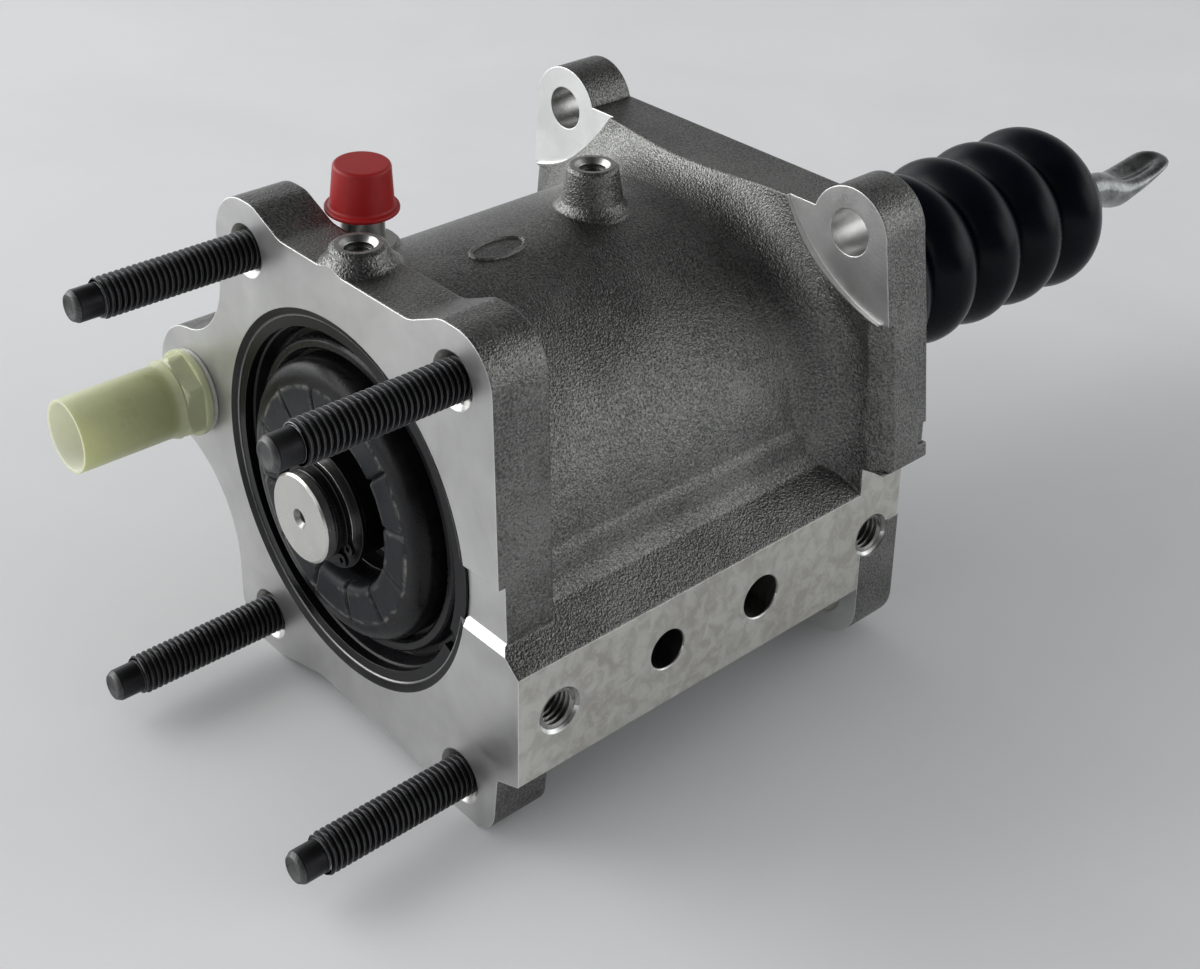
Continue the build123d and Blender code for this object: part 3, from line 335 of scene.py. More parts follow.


# %% [markdown]
# ## Metals
# The casting is dark and sandy, its machined lands are pale, and the studs are phosphated black. All
# of them are one recipe with other numbers: two tones, a range of roughness, one grain, and an edge
# that may have its own colour, partly wear and partly a painted highlight.


# %% Metal recipe
def grained(cells, depth):
    return CAST, {"Cells_per_metre": cells, "Depth": depth}


def milled_by(lines, depth, centre=(0.0, 0.0, 0.0)):
    return MILLED, {"Lines_per_metre": lines, "Depth": depth, "Centre": centre}


def turned_by(lines, depth, axis_x=0.0):
    return TURNED, {"Lines_per_metre": lines, "Depth": depth, "Axis_X": axis_x}


def metal(name, dark, light, low, high, grain, edge=0.0004, wear_and_highlight_colour=None, edge_width=0.3, scale=40.0,
          metallic=1.0, spread=0.2, softness=0.15, cloud=0.3):
    """Low and high bound the roughness. Cloud is the share of the handling marks in the tone."""
    made, tree, shader = start_finish(name)
    marks = use(tree, HANDLED, Low=low, High=high, Scale=scale, Softness=softness)
    edge_group = use(tree, EDGES, Radius=edge, Width=edge_width)
    skin = skin_on(tree, grain, edge_group.outputs["Normal"])
    grain_tone = times(tree, skin.outputs["Tone"], 1.0 - cloud)
    tone = plus(tree, grain_tone, times(tree, marks.outputs["Mask"], cloud))
    colour = mix(tree, remap(tree, tone, 0.5 - spread, 0.5 + spread), dark, light)
    # The edge colour paints a highlight along the edges, partly standing for wear.
    if wear_and_highlight_colour:
        colour = mix(tree, edge_group.outputs["Mask"], colour, wear_and_highlight_colour)
    feed(tree, shader, colour, marks.outputs["Value"], skin.outputs["Normal"])
    shader.inputs["Metallic"].default_value = metallic
    return made


# %% Finishes of the casting
ON_BORE = BORE_X * MM
# The edge colours below paint bright highlights along the edges, partly standing for wear.
cast = metal("cast_grey", (0.095, 0.096, 0.091), (0.27, 0.272, 0.26), 0.31, 0.43, grained(2000.0, 0.00013),
             edge=0.0009, wear_and_highlight_colour=(0.32, 0.32, 0.31), edge_width=0.6, spread=0.12, cloud=0.1)
milled = metal("milled_front", (0.50, 0.50, 0.49), (0.62, 0.62, 0.61), 0.38, 0.5,
               milled_by(700.0, 0.000012, (0.05, 0.0, -0.25)),
               edge=0.0005, wear_and_highlight_colour=(0.95, 0.95, 0.94), edge_width=0.15)
rail_milled = metal("milled_rail", (0.54, 0.525, 0.48), (0.70, 0.69, 0.65), 0.32, 0.5,
                    milled_by(500.0, 0.00003, (0.0, 0.35, 0.1)),
                    edge=0.0003, wear_and_highlight_colour=(0.9, 0.9, 0.88), edge_width=0.2, scale=260.0, softness=0.09)
ear_milled = metal("milled_ear", (0.72, 0.72, 0.71), (0.86, 0.86, 0.85), 0.4, 0.5,
                   milled_by(900.0, 0.00005, (0.0723, 0.11, 0.0828)),
                   edge=0.0005, wear_and_highlight_colour=(0.95, 0.95, 0.94), edge_width=0.15)
bright_cut = metal("bright_cut", (0.62, 0.62, 0.61), (0.85, 0.85, 0.84), 0.22, 0.34,
                   milled_by(1500.0, 0.00001))
drilled = metal("drilled", (0.20, 0.20, 0.19), (0.42, 0.42, 0.40), 0.3, 0.45, turned_by(1300.0, 0.00008))
reamed = metal("reamed_hole", (0.42, 0.42, 0.41), (0.66, 0.66, 0.64), 0.26, 0.38, milled_by(1800.0, 0.00003))
# The bore is painted near black as painted shade, and its edge colour is a painted highlight.
bore_in_shade = metal("bore_painted_shade", (0.025, 0.025, 0.025), (0.05, 0.05, 0.05), 0.28, 0.4,
              turned_by(1200.0, 0.00002, ON_BORE),
              edge=0.0005, wear_and_highlight_colour=(0.75, 0.75, 0.74), edge_width=0.25)
print("finishes of the casting:", len(bpy.data.materials))

# %% Finishes of the other metals
# The edge colours below paint bright highlights along the edges, partly standing for wear.
phosphate = metal("black_phosphate", (0.010, 0.010, 0.012), (0.022, 0.022, 0.024), 0.3, 0.44,
                  grained(2600.0, 0.00002),
                  edge=0.00016, wear_and_highlight_colour=(0.5, 0.5, 0.51), edge_width=0.3, metallic=0.8)
stud_end = metal("stud_end", (0.05, 0.05, 0.052), (0.14, 0.14, 0.14), 0.4, 0.55, turned_by(1500.0, 0.00003),
                 edge=0.0002, wear_and_highlight_colour=(0.3, 0.3, 0.3), edge_width=0.2)
ring_steel = metal("ring_dark", (0.012, 0.012, 0.013), (0.022, 0.022, 0.024), 0.28, 0.36,
                   turned_by(900.0, 0.000006, ON_BORE),
                   edge=0.0002, wear_and_highlight_colour=(0.14, 0.14, 0.145), edge_width=0.3, metallic=0.8)
bright_steel = metal("bright_steel", (0.62, 0.61, 0.58), (0.72, 0.71, 0.68), 0.2, 0.3,
                     turned_by(2600.0, 0.000012, ON_BORE),
                     edge=0.0002, wear_and_highlight_colour=(0.92, 0.92, 0.9), edge_width=0.25)
dark_steel = metal("dark_sleeve", (0.03, 0.03, 0.032), (0.07, 0.07, 0.072), 0.22, 0.34,
                   turned_by(1500.0, 0.00012, ON_BORE),
                   edge=0.00015, wear_and_highlight_colour=(0.25, 0.25, 0.25), metallic=0.9)
zinc_steel = metal("zinc_steel", (0.16, 0.17, 0.17), (0.34, 0.35, 0.35), 0.16, 0.3, grained(500.0, 0.00006),
                   edge=0.0004, scale=120.0)
piston_metal = metal("piston_metal", (0.02, 0.02, 0.02), (0.04, 0.04, 0.04), 0.3, 0.42,
                     turned_by(1400.0, 0.00003, ON_BORE),
                     edge=0.0003, wear_and_highlight_colour=(0.2, 0.2, 0.2), metallic=0.9)
bronze = metal("bronze_bush", (0.42, 0.27, 0.12), (0.55, 0.37, 0.18), 0.3, 0.4,
               turned_by(1200.0, 0.00002, ON_BORE))
spring_steel = metal("spring_steel", (0.12, 0.12, 0.12), (0.2, 0.2, 0.2), 0.3, 0.42, grained(1500.0, 0.00003),
                     edge=0.0002)
print("metals:", len(bpy.data.materials))

# %% [markdown]
# ## Rubber
# Rubber is near black and only faintly shiny. The seals show pale scuffs where an edge has rubbed. The
# cushion needs more: its pads are duller and paler than the rubber round them, and their rims are
# scuffed. A mask made from edges alone can't tell a pad from a groove, so the mesh of the cushion
# carries two attributes of its own, named scuff and pad, and this finish reads them.


# %% Rubber
def rubber(name, tone, low, high, scuff, fine=0.00002, shine=0.4):
    made, tree, shader = start_finish(name)
    marks = use(tree, HANDLED, Low=low, High=high, Scale=60.0)
    edge_group = use(tree, EDGES, Radius=0.0005, Width=0.25)
    skin = skin_on(tree, grained(1800.0, fine), edge_group.outputs["Normal"])
    base = mix(tree, marks.outputs["Mask"], tone, tuple(c * 1.5 for c in tone))
    rubbed = times(tree, edge_group.outputs["Mask"], marks.outputs["Mask"])
    colour = mix(tree, times(tree, rubbed, scuff), base, (0.22, 0.215, 0.2))
    feed(tree, shader, colour, marks.outputs["Value"], skin.outputs["Normal"])
    shader.inputs["Specular IOR Level"].default_value = shine
    return made


def make_cushion_rubber():
    made, tree, shader = start_finish("cushion_rubber")
    marks = use(tree, HANDLED, Low=0.26, High=0.36, Scale=260.0)
    skin = skin_on(tree, grained(1500.0, 0.00003))
    scuff = add(tree, "ShaderNodeAttribute", attribute_name="scuff").outputs["Fac"]
    pad = add(tree, "ShaderNodeAttribute", attribute_name="pad").outputs["Fac"]
    hump = mix(tree, marks.outputs["Mask"], (0.003, 0.003, 0.004), (0.007, 0.007, 0.008))
    base = mix(tree, pad, hump, (0.014, 0.015, 0.018))
    broken = times(tree, scuff, remap(tree, marks.outputs["Mask"], 0.4, 0.9))
    colour = mix(tree, broken, base, (0.17, 0.165, 0.15))
    roughness = plus(tree, marks.outputs["Value"], times(tree, pad, 0.16))
    feed(tree, shader, colour, roughness, skin.outputs["Normal"])
    shader.inputs["Specular IOR Level"].default_value = 0.22
    return made


seal_rubber = rubber("seal_rubber", (0.008, 0.008, 0.009), 0.22, 0.34, 0.3, shine=0.3)
boot_rubber = rubber("boot_rubber", (0.0015, 0.0022, 0.0045), 0.24, 0.32, 0.0, fine=0.000004, shine=0.16)
cushion_rubber = make_cushion_rubber()
print("rubbers:", [m.name for m in (seal_rubber, boot_rubber, cushion_rubber)])

# %% [markdown]
# ## Plastics
# The two caps are thin and let some light in, which subsurface scattering shows. The green tube is
# palest where it is thinnest, at its open end, and again at the collar, where light shines through.
# That could be left to the scattering alone, but a gradient along the tube paints this light in, which
# is cheaper and easy to set. The inside of the tube is painted pale as well, as painted light.

# %% Plastics
TUBE_FADE = (-0.012, -0.037)
COLLAR_FADE = (-0.0125, -0.0085)


def paint_shine_through(tree, base, shine_through_colour):
    """Painted light: a paler colour takes over near the mouth of the tube, and less so at the collar."""
    y = add(tree, "ShaderNodeSeparateXYZ", {"Vector": own_place(tree)}).outputs["Y"]
    base = mix(tree, remap(tree, y, *TUBE_FADE), base, shine_through_colour)
    return mix(tree, remap(tree, y, *COLLAR_FADE, 0.0, 0.7), base, shine_through_colour)


def plastic(name, colour, deep, low, high, through, scale, scatter, shine_through_colour=None):
    """Through is the share of light that goes in, and scatter how far each colour travels, in metres."""
    made, tree, shader = start_finish(name)
    marks = use(tree, HANDLED, Low=low, High=high, Scale=scale)
    skin = skin_on(tree, grained(500.0, 0.00003))
    base = mix(tree, marks.outputs["Mask"], deep, colour)
    if shine_through_colour:
        base = paint_shine_through(tree, base, shine_through_colour)
    feed(tree, shader, base, marks.outputs["Value"], skin.outputs["Normal"])
    shader.inputs["Specular IOR Level"].default_value = 0.4
    shader.inputs["Subsurface Weight"].default_value = through
    shader.inputs["Subsurface Radius"].default_value = scatter
    shader.inputs["Subsurface Scale"].default_value = 1.0
    return made


red_plastic = plastic("red_plastic", (0.34, 0.006, 0.007), (0.27, 0.005, 0.006), 0.38, 0.5, 0.05, 90.0,
                      (0.001, 0.0002, 0.0002))
# The pale colour at the tube's ends is painted light shining through the thin plastic.
green_plastic = plastic("green_plastic", (0.40, 0.42, 0.23), (0.34, 0.36, 0.19), 0.25, 0.36, 0.6, 60.0,
                        (0.003, 0.003, 0.0018), shine_through_colour=(0.60, 0.62, 0.42))
# The inside of the tube is painted pale: painted light that shines in at its open end.
green_inside_painted_light = plastic("green_inside_painted_light", (0.78, 0.79, 0.66), (0.72, 0.73, 0.60), 0.3, 0.4, 0.6, 60.0,
                       (0.003, 0.003, 0.0025))
pale_seal = plastic("pale_seal", (0.62, 0.62, 0.58), (0.5, 0.5, 0.46), 0.3, 0.4, 0.3, 120.0,
                    (0.001, 0.001, 0.001))
guide_plastic = plastic("guide_plastic", (0.10, 0.07, 0.04), (0.07, 0.05, 0.03), 0.35, 0.5, 0.0, 80.0,
                        (0.001, 0.001, 0.001))
print("finishes:", sorted(m.name for m in bpy.data.materials))

# %% [markdown]
# ## Finishes of the plain solids
# Most of the turned pieces look right as they come, so they only get a finish. The slot names what
# each is made of, whatever finish is on top.

# %% Dress the solids
PLAIN_PIECES = [
    ("housing", cast, "cast_aluminium"),
    ("bore_retaining_ring", ring_steel, "black_phosphate"),
    ("piston_body", piston_metal, "piston_aluminium"),
    ("piston_seal", seal_rubber, "rubber"),
    ("piston_guide_ring", guide_plastic, "guide_plastic"),
    ("piston_shaft", bright_steel, "bright_steel"),
    ("thrust_disc", bright_steel, "bright_steel"),
    ("shaft_sleeve", dark_steel, "black_phosphate"),
    ("shaft_circlip", ring_steel, "black_phosphate"),
    ("spacer_ring", bright_steel, "bright_steel"),
    ("thrust_washer", ring_steel, "black_phosphate"),
    ("rod_guide_bush", bronze, "bronze"),
    ("rod_seal", seal_rubber, "rubber"),
    ("rod_seal_clip", ring_steel, "black_phosphate"),
    ("spring_seat", spring_steel, "spring_steel"),
    ("push_rod_clip", spring_steel, "spring_steel"),
    ("port_nipple", bright_steel, "bright_steel"),
    ("air_port_ring", pale_seal, "pale_seal"),
]
for name, finish, slot in PLAIN_PIECES:
    piece = nodes[name]
    piece.data.materials.clear()
    piece.data.materials.append(finish)
print("dressed:", len(PLAIN_PIECES))

# %% [markdown]
# ## Machined faces of the casting
# The casting came out of the sand in one colour, and every face that a tool touched afterwards is
# brighter. Its mesh is one piece, so the faces are sorted: where the corners of a face lie tells which
# cut made it. The bore takes a near black finish as painted shade, and some hole chamfers get a
# painted glint below and painted shade above. Painting by hand would work too, but it would be lost
# whenever the part changes.

# %% How far each cut reaches
BOSS_TOP_Z, BOSS_TOP_R = 65.0, 6.6
BOSS_HOLE_R, BOSS_HOLE_FLOOR_Z, BOSS_COUNTERSINK_Z = 4.6, 53.0, 63.0
BORE_WALL_R, BORE_END_Y = 48.5, 110.0
PORT_HOLE_R, PORT_SEAT_R, PORT_SEAT_Z = 5.2, 9.5, 52.4
LAND_WALL_Y = (90.0, 112.3)
STEP_X, STEP_Y, STEP_Z, STEP_SLOPE_Z = 40.0, (0.0, 1.9), (-9.0, 7.6), -6.9
RAIL_HOLE_X, RAIL_HOLE_Z, RAIL_HOLE_R = (41.0, 61.6), (-34.0, -19.0), 6.1
RAIL_CHAMFER_X, RAIL_CHAMFER_Z = 60.0, -28.0
EAR_HOLE_R = 7.7
REAR_HOLE_R, REAR_HOLE_START_Y = 6.2, 110.0
STUD_HOLE_R, STUD_HOLE_FLOOR_Y, STUD_CHAMFER_Y, STUD_GLINT_DOWN = 7.2, 13.0, 2.1, 3.5
CLOSE = 0.05
print("rail holes within mm:", RAIL_HOLE_X, RAIL_HOLE_Z)


# %% Tell how a face was cut
def reach(at, first, second, centre):
    """How far the farthest corner of a face lies from an axis, seen along the third direction."""
    return np.hypot(at[:, first] - centre[0], at[:, second] - centre[1]).max()


def lies_on(at, direction, level):
    return np.abs(at[:, direction] - level).max() < CLOSE


def cut_of_boss(at, z):
    """The bosses have a tapped hole below a bright countersink and a turned top."""
    for hole_y in BOSSES_Y:
        from_axis = reach(at, X, Y, (BORE_X, hole_y))
        if from_axis < BOSS_HOLE_R and BOSS_HOLE_FLOOR_Z < z < BOSS_TOP_Z:
            return reamed if z > BOSS_COUNTERSINK_Z else drilled
        if from_axis < BOSS_TOP_R and at[:, Z].min() > BOSS_TOP_Z:
            return drilled


def cut_of_face(at, y):
    """The flat machined faces, the bore in painted shade, and the seat and hole of the service port."""
    if lies_on(at, Y, 0.0):
        return milled
    if reach(at, X, Z, (BORE_X, 0.0)) < BORE_WALL_R and y < BORE_END_Y:
        return bore_in_shade
    if lies_on(at, X, RAIL_FACE_X):
        return rail_milled
    if lies_on(at, Y, REAR_FLANGE_Y) or lies_on(at, Y, REAR_FLANGE_Y + REAR_FLANGE_THICKNESS):
        return ear_milled
    from_port = reach(at, X, Y, PORT_AXIS)
    if from_port < PORT_HOLE_R or from_port < PORT_SEAT_R and at[:, Z].min() > PORT_SEAT_Z:
        return drilled


def cut_of_land(at, y):
    """The wall that the wide cutter left round the land of each upper ear."""
    for axis in LAND_SWEEPS:
        off = np.hypot(at[:, X] - axis[0], at[:, Z] - axis[1]) - LAND_SWEEP_R
        if LAND_WALL_Y[0] < y < LAND_WALL_Y[1] and np.abs(off).max() < 2 * CLOSE:
            return ear_milled


def cut_of_step(at, x, y, z):
    """The shallow step beside the bore, with a bright slope below it."""
    inside = STEP_Y[0] < y < STEP_Y[1] and x > STEP_X and STEP_Z[0] < z < STEP_Z[1]
    if inside and at[:, Y].max() < STEP_Y[1] - CLOSE:
        return bright_cut if z < STEP_SLOPE_Z else milled


def cut_of_rail_hole(at, x, z):
    """The holes of the rail take the drilled finish; each chamfer has a painted glint below, painted shade
    above.
    """
    low_x, high_x = at[:, X].min(), at[:, X].max()
    inside = x > STEP_X and RAIL_HOLE_Z[0] < z < RAIL_HOLE_Z[1]
    if not inside or high_x >= RAIL_HOLE_X[1] or low_x <= RAIL_HOLE_X[0]:
        return None
    for hole_y in RAIL_TAPPED_Y + RAIL_PLAIN_Y:
        if reach(at, Y, Z, (hole_y, RAIL_HOLES_Z)) < RAIL_HOLE_R:
            return bright_cut if low_x > RAIL_CHAMFER_X and z < RAIL_CHAMFER_Z else drilled


def cut_of_other_hole(at, y, z):
    """The holes of the port ear, the rear ears and the studs."""
    if reach(at, X, Z, EAR_AXIS) < EAR_HOLE_R:
        return drilled
    for ear in REAR_EARS:
        if y > REAR_HOLE_START_Y and reach(at, X, Z, ear) < REAR_HOLE_R:
            return reamed
    for stud in STUD_AXES:
        if y < STUD_HOLE_FLOOR_Y and reach(at, X, Z, stud) < STUD_HOLE_R:
            # The lower side of each stud hole's chamfer gets the reamed finish as a painted glint; its upper
            # side keeps the drilled finish as painted shade.
            glints = at[:, Y].max() < STUD_CHAMFER_Y and z < stud[1] - STUD_GLINT_DOWN
            return reamed if glints else drilled


# %% Sort the faces
def sort_housing():
    mesh = nodes["housing"].data
    index = {}
    for k, finish in enumerate((milled, rail_milled, ear_milled, bright_cut, drilled, reamed, bore_in_shade)):
        mesh.materials.append(finish)
        index[finish.name] = k + 1
    corners = np.array([v.co for v in mesh.vertices]) / MM
    counts = {}
    for face in mesh.polygons:
        at = corners[list(face.vertices)]
        x, y, z = at.mean(0)
        chosen = (cut_of_boss(at, z) or cut_of_face(at, y) or cut_of_land(at, y) or cut_of_step(at, x, y, z)
                  or cut_of_rail_hole(at, x, z) or cut_of_other_hole(at, y, z))
        if chosen:
            face.material_index = index[chosen.name]
            counts[chosen.name] = counts.get(chosen.name, 0) + 1
    print("casting faces:", counts, "of", len(mesh.polygons))


def sort_disc():
    """The centre hole of the thrust disc is dark, its face stays bright."""
    mesh = nodes["thrust_disc"].data
    mesh.materials.append(drilled)
    for face in mesh.polygons:
        at = np.array([mesh.vertices[k].co for k in face.vertices]) / MM
        if reach(at, X, Z, (BORE_X, 0.0)) < DISC_HOLE_R:
            face.material_index = 1


sort_housing()
sort_disc()

# %% [markdown]
# ## Tools for finer meshes
# Nearly every finer piece here is a profile that was turned, wound or stretched, so one kind of mesh
# will do: a grid of points whose rows follow the piece and whose columns go round it. NumPy works out
# the grid, and `sheet_of` makes it a mesh. Modifiers could do the same, but a formula keeps each size
# in sight.


# %% Mesh helpers
def sheet_of(name, points, wrap=False, sharp=30.0, weld=0.0):
    """A mesh from rows of points. Wrap closes each row, weld joins points closer than that, in metres."""
    rows, columns = points.shape[:2]
    grid = np.arange(rows * columns).reshape(rows, columns)
    if wrap:
        grid = np.hstack([grid, grid[:, :1]])
    quads = np.stack([grid[:-1, :-1], grid[:-1, 1:], grid[1:, 1:], grid[1:, :-1]], -1).reshape(-1, 4)
    mesh = bpy.data.meshes.new(name)
    mesh.from_pydata(points.reshape(-1, 3).tolist(), [], quads.tolist())
    if weld:
        work = bmesh.new()
        work.from_mesh(mesh)
        bmesh.ops.remove_doubles(work, verts=work.verts, dist=weld)
        bmesh.ops.recalc_face_normals(work, faces=work.faces)
        work.to_mesh(mesh)
        work.free()
    mesh.validate()
    mesh.shade_smooth()
    mesh.set_sharp_from_angle(angle=math.radians(sharp))
    made = bpy.data.objects.new(name, mesh)
    bpy.context.scene.collection.objects.link(made)
    return made


def round_the_clock(steps):
    return np.linspace(0, 2 * math.pi, steps, endpoint=False)


def spun(profile, steps, axis="Y"):
    """Points of (radius, place) pairs spun round the axis, in millimetres."""
    profile = np.array(profile, float)
    angles = round_the_clock(steps)
    r, along = profile[:, :1], profile[:, 1:]
    a, b = r * np.cos(angles), r * np.sin(angles)
    along = np.repeat(along, steps, 1)
    parts = (a, along, b) if axis == "Y" else (a, b, along)
    return np.stack(parts, -1)


def rounded(points, steps=4):
    """A profile whose corners, given as (radius, place, size), are turned into short arcs."""
    out = []
    for k, p in enumerate(points):
        if len(p) < 3:
            out.append(p[:2])
            continue
        here = np.array(p[:2], float)
        before = np.array(points[k - 1][:2], float) - here
        after = np.array(points[(k + 1) % len(points)][:2], float) - here
        first = here + before / np.linalg.norm(before) * p[2]
        last = here + after / np.linalg.norm(after) * p[2]
        for t in np.linspace(0, 1, steps + 1):
            out.append(tuple((1 - t) ** 2 * first + 2 * t * (1 - t) * here + t * t * last))
    return out


def settle(piece, finish, slot, body, *stands_for):
    """Gives a new mesh its finish, the body it rides and the solids it replaces. The slot is not used."""
    piece.data.materials.append(finish)
    if body:
        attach(piece, body)
    if stands_for:
        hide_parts(*stands_for)
    return piece


# %% [markdown]
# ## Threads
# The studs have rolled M10 threads with a pitch of 1.5 mm, and four holes are tapped. A thread could
# be drawn by a bump, but its outline would stay smooth and give it away against the pale floor. Here
# the rows of the grid climb with the helix, so crest and root stay crisp all the way round.

# %% Thread helper
PITCH = 1.5
CREST_R = 5.0
ROOT_R = 4.06
THREAD_STEPS = 48


def helix_rows(start, end, pitch, marks, angles):
    """Rows of (radius, place) that climb one pitch per turn. The marks are (share of the pitch, radius)."""
    rows = []
    for k in range(-1, int((end - start) / pitch) + 1):
        for share, r in marks:
            along = start + (k + share) * pitch + pitch * angles / (2 * math.pi)
            rows.append(np.stack([np.full_like(along, r), np.clip(along, start, end)], -1))
    return rows


# %% Studs
STUD_TIP = -45.5
STUD_NECK_END = -39.5
STUD_NECK_R = 3.95
STUD_THREAD = (-38.6, 2.0)
STUD_FOOT = 12.0


def stud_points(x, z, turn):
    """A stud from its dished tip over the plain neck and the thread to its foot in the casting."""
    tip, neck_end, (start, end) = STUD_TIP, STUD_NECK_END, STUD_THREAD
    marks = [(0.00, CREST_R), (0.14, CREST_R), (0.44, ROOT_R), (0.50, ROOT_R - 0.04), (0.70, ROOT_R)]
    angles = np.linspace(0, 2 * math.pi, THREAD_STEPS + 1)
    thread = helix_rows(start, end, PITCH, marks, angles)
    for row in thread:
        lead_in = np.maximum(STUD_NECK_R + (row[:, 1] - neck_end) * 0.75, STUD_NECK_R)
        row[:, 0] = np.minimum(row[:, 0], lead_in)
    nose = [(0.0, tip + 0.5), (1.9, tip + 0.45), (2.5, tip + 0.1), (2.8, tip), (3.05, tip), (3.2, tip + 0.08),
            (3.85, tip + 1.1), (STUD_NECK_R, tip + 1.4), (STUD_NECK_R, neck_end), (STUD_NECK_R, start)]
    tail = [(4.12, end), (4.9, end + 0.1), (4.9, STUD_FOOT), (0.0, STUD_FOOT)]
    nose, tail = [[np.tile(np.array(p, float), (THREAD_STEPS + 1, 1)) for p in part] for part in (nose, tail)]
    grid = np.array(nose + thread + tail)
    a = angles + turn
    return np.stack([x + grid[..., 0] * np.cos(a), grid[..., 1], z + grid[..., 0] * np.sin(a)], -1) * MM


def make_studs():
    """Four studs, each turned a little further, since real threads never start alike."""
    made = []
    for k, (x, z) in enumerate(STUD_AXES):
        stud = sheet_of(f"stud_{k + 1}", stud_points(x, z, 1.3 * k), sharp=38.0, weld=2e-6)
        settle(stud, phosphate, "black_phosphate", "housing")
        stud.data.materials.append(stud_end)
        for face in stud.data.polygons:
            if face.center[Y] / MM < STUD_TIP + 0.6:
                face.material_index = 1
        made.append(stud)
    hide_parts("front_studs")
    return made


studs = make_studs()
print("studs:", [len(s.data.polygons) for s in studs])

# %% Threads in the tapped holes
TAPPED_DEPTH = 0.56


def tapped(name, at, axis, depth, hole_r, pitch):
    """The thread of a tapped hole. It starts at a place on the axis and goes down from there."""
    angles = np.linspace(0, 2 * math.pi, THREAD_STEPS + 1)
    crest = hole_r - TAPPED_DEPTH * pitch
    marks = [(0.00, hole_r), (0.10, hole_r), (0.48, crest), (0.62, crest)]
    rows = np.array(helix_rows(0.0, depth, pitch, marks, angles))
    a, b, along = rows[..., 0] * np.cos(angles), rows[..., 0] * np.sin(angles), -rows[..., 1]
    parts = (along, a, b) if axis == "X" else (a, b, along)
    made = sheet_of(name, (np.stack(parts, -1) + np.array(at)) * MM, sharp=38.0, weld=2e-6)
    return settle(made, drilled, "cast_aluminium", "housing")


RAIL_THREAD_X = RAIL_FACE_X - 0.9
BOSS_THREAD_Z = 62.8
threads = [tapped(f"rail_thread_{k + 1}", (RAIL_THREAD_X, y, RAIL_HOLES_Z), "X", 15.0, 5.06, PITCH)
           for k, y in enumerate(RAIL_TAPPED_Y)]
threads += [tapped(f"boss_thread_{k + 1}", (BORE_X, y, BOSS_THREAD_Z), "Z", 8.0, 3.28, 1.0)
            for k, y in enumerate(BOSSES_Y)]
print("threads:", {t.name: len(t.data.polygons) for t in threads})

# %% [markdown]
# ## Piston cushion
# The piston carries a moulded rubber hump whose inner half is cut into twelve pads by shallow grooves.
# Grooves could be cut with a boolean, but soft rubber has no sharp cuts. The ring is spun with many
# columns instead, and each point is pushed in by a smooth formula of its radius and angle.

# %% Cushion
CUSHION_FRONT, CUSHION_BACK = -2.5, 6.4
CUSHION_INNER_R, CUSHION_OUTER_R = 20.4, 35.3
PAD_TURN = 30.0
FIRST_GROOVE = 12.0
GROOVE_DEPTH, GROOVE_HALF_WIDTH = 0.8, 0.5
PAD_HEIGHT, PAD_INNER_R, PAD_OUTER_R = 0.45, 22.4, 29.5
PAD_FACE_Y, RIM_FACE_Y = 2.0, 0.5


def fine_profile(points, step):
    """The same profile with points at most about one step apart."""
    out = []
    for (r0, y0), (r1, y1) in zip(points, points[1:]):
        count = max(1, int(math.hypot(r1 - r0, y1 - y0) / step))
        out += [(r0 + (r1 - r0) * t, y0 + (y1 - y0) * t) for t in np.linspace(0, 1, count, endpoint=False)]
    return out + [points[-1]]


def make_cushion():
    steps = 384
    corners = [(CUSHION_INNER_R, CUSHION_BACK), (CUSHION_INNER_R, CUSHION_FRONT, 2.6),
               (CUSHION_OUTER_R, CUSHION_FRONT, 5.2), (CUSHION_OUTER_R, CUSHION_BACK)]
    profile = fine_profile(rounded(corners, 10), 0.45)
    points = spun(profile, steps)
    radius, depth_at = (np.array(column)[:, None] for column in zip(*profile))
    angles = np.degrees(round_the_clock(steps))[None, :]
    from_middle = np.abs((angles - FIRST_GROOVE) % PAD_TURN - PAD_TURN / 2)
    across = (PAD_TURN / 2 - from_middle) * np.pi / 180.0 * radius
    groove = np.exp(-(across / GROOVE_HALF_WIDTH) ** 2)
    band = 1 / (1 + np.exp((radius - PAD_OUTER_R - 0.1) / 0.35)) * (depth_at < PAD_FACE_Y)
    raised = 1 / (1 + np.exp((radius - PAD_OUTER_R + 0.1) / 0.3)) * (depth_at < PAD_FACE_Y)
    points[..., 1] += groove * band * GROOVE_DEPTH - PAD_HEIGHT * raised * (1 - groove)
    points[..., 0] += BORE_X
    scuff = 0.5 * np.exp(-((across - 0.9) / 0.3) ** 2) * band
    scuff = scuff + np.exp(-((radius - PAD_OUTER_R) / 0.35) ** 2) * (depth_at < RIM_FACE_Y)
    scuff += 0.6 * np.exp(-((radius - PAD_INNER_R) / 0.4) ** 2) * (depth_at < RIM_FACE_Y)
    pad = band * (1 - groove) + raised * (radius < PAD_OUTER_R - 0.1)
    made = sheet_of("cushion", points * MM, wrap=True, sharp=60.0)
    for label, values in (("scuff", scuff), ("pad", pad)):
        mask = made.data.attributes.new(label, "FLOAT", "POINT")
        mask.data.foreach_set("value", np.clip(values, 0, 1).astype(np.float32).reshape(-1))
    return settle(made, cushion_rubber, "rubber", "piston", "piston_cushion")


cushion = make_cushion()
print("cushion faces:", len(cushion.data.polygons))

# %% [markdown]
# ## Bellows
# A dust boot closes the gap between casting and push rod with six round folds. Its own weight lets it
# droop, and its end is pulled onto the rod, which leans a little. A sine raised to a power below one
# gives wide round folds with narrow valleys between them. One end stays on the casting and the other
# goes with the piston, but the mesh rides neither body.

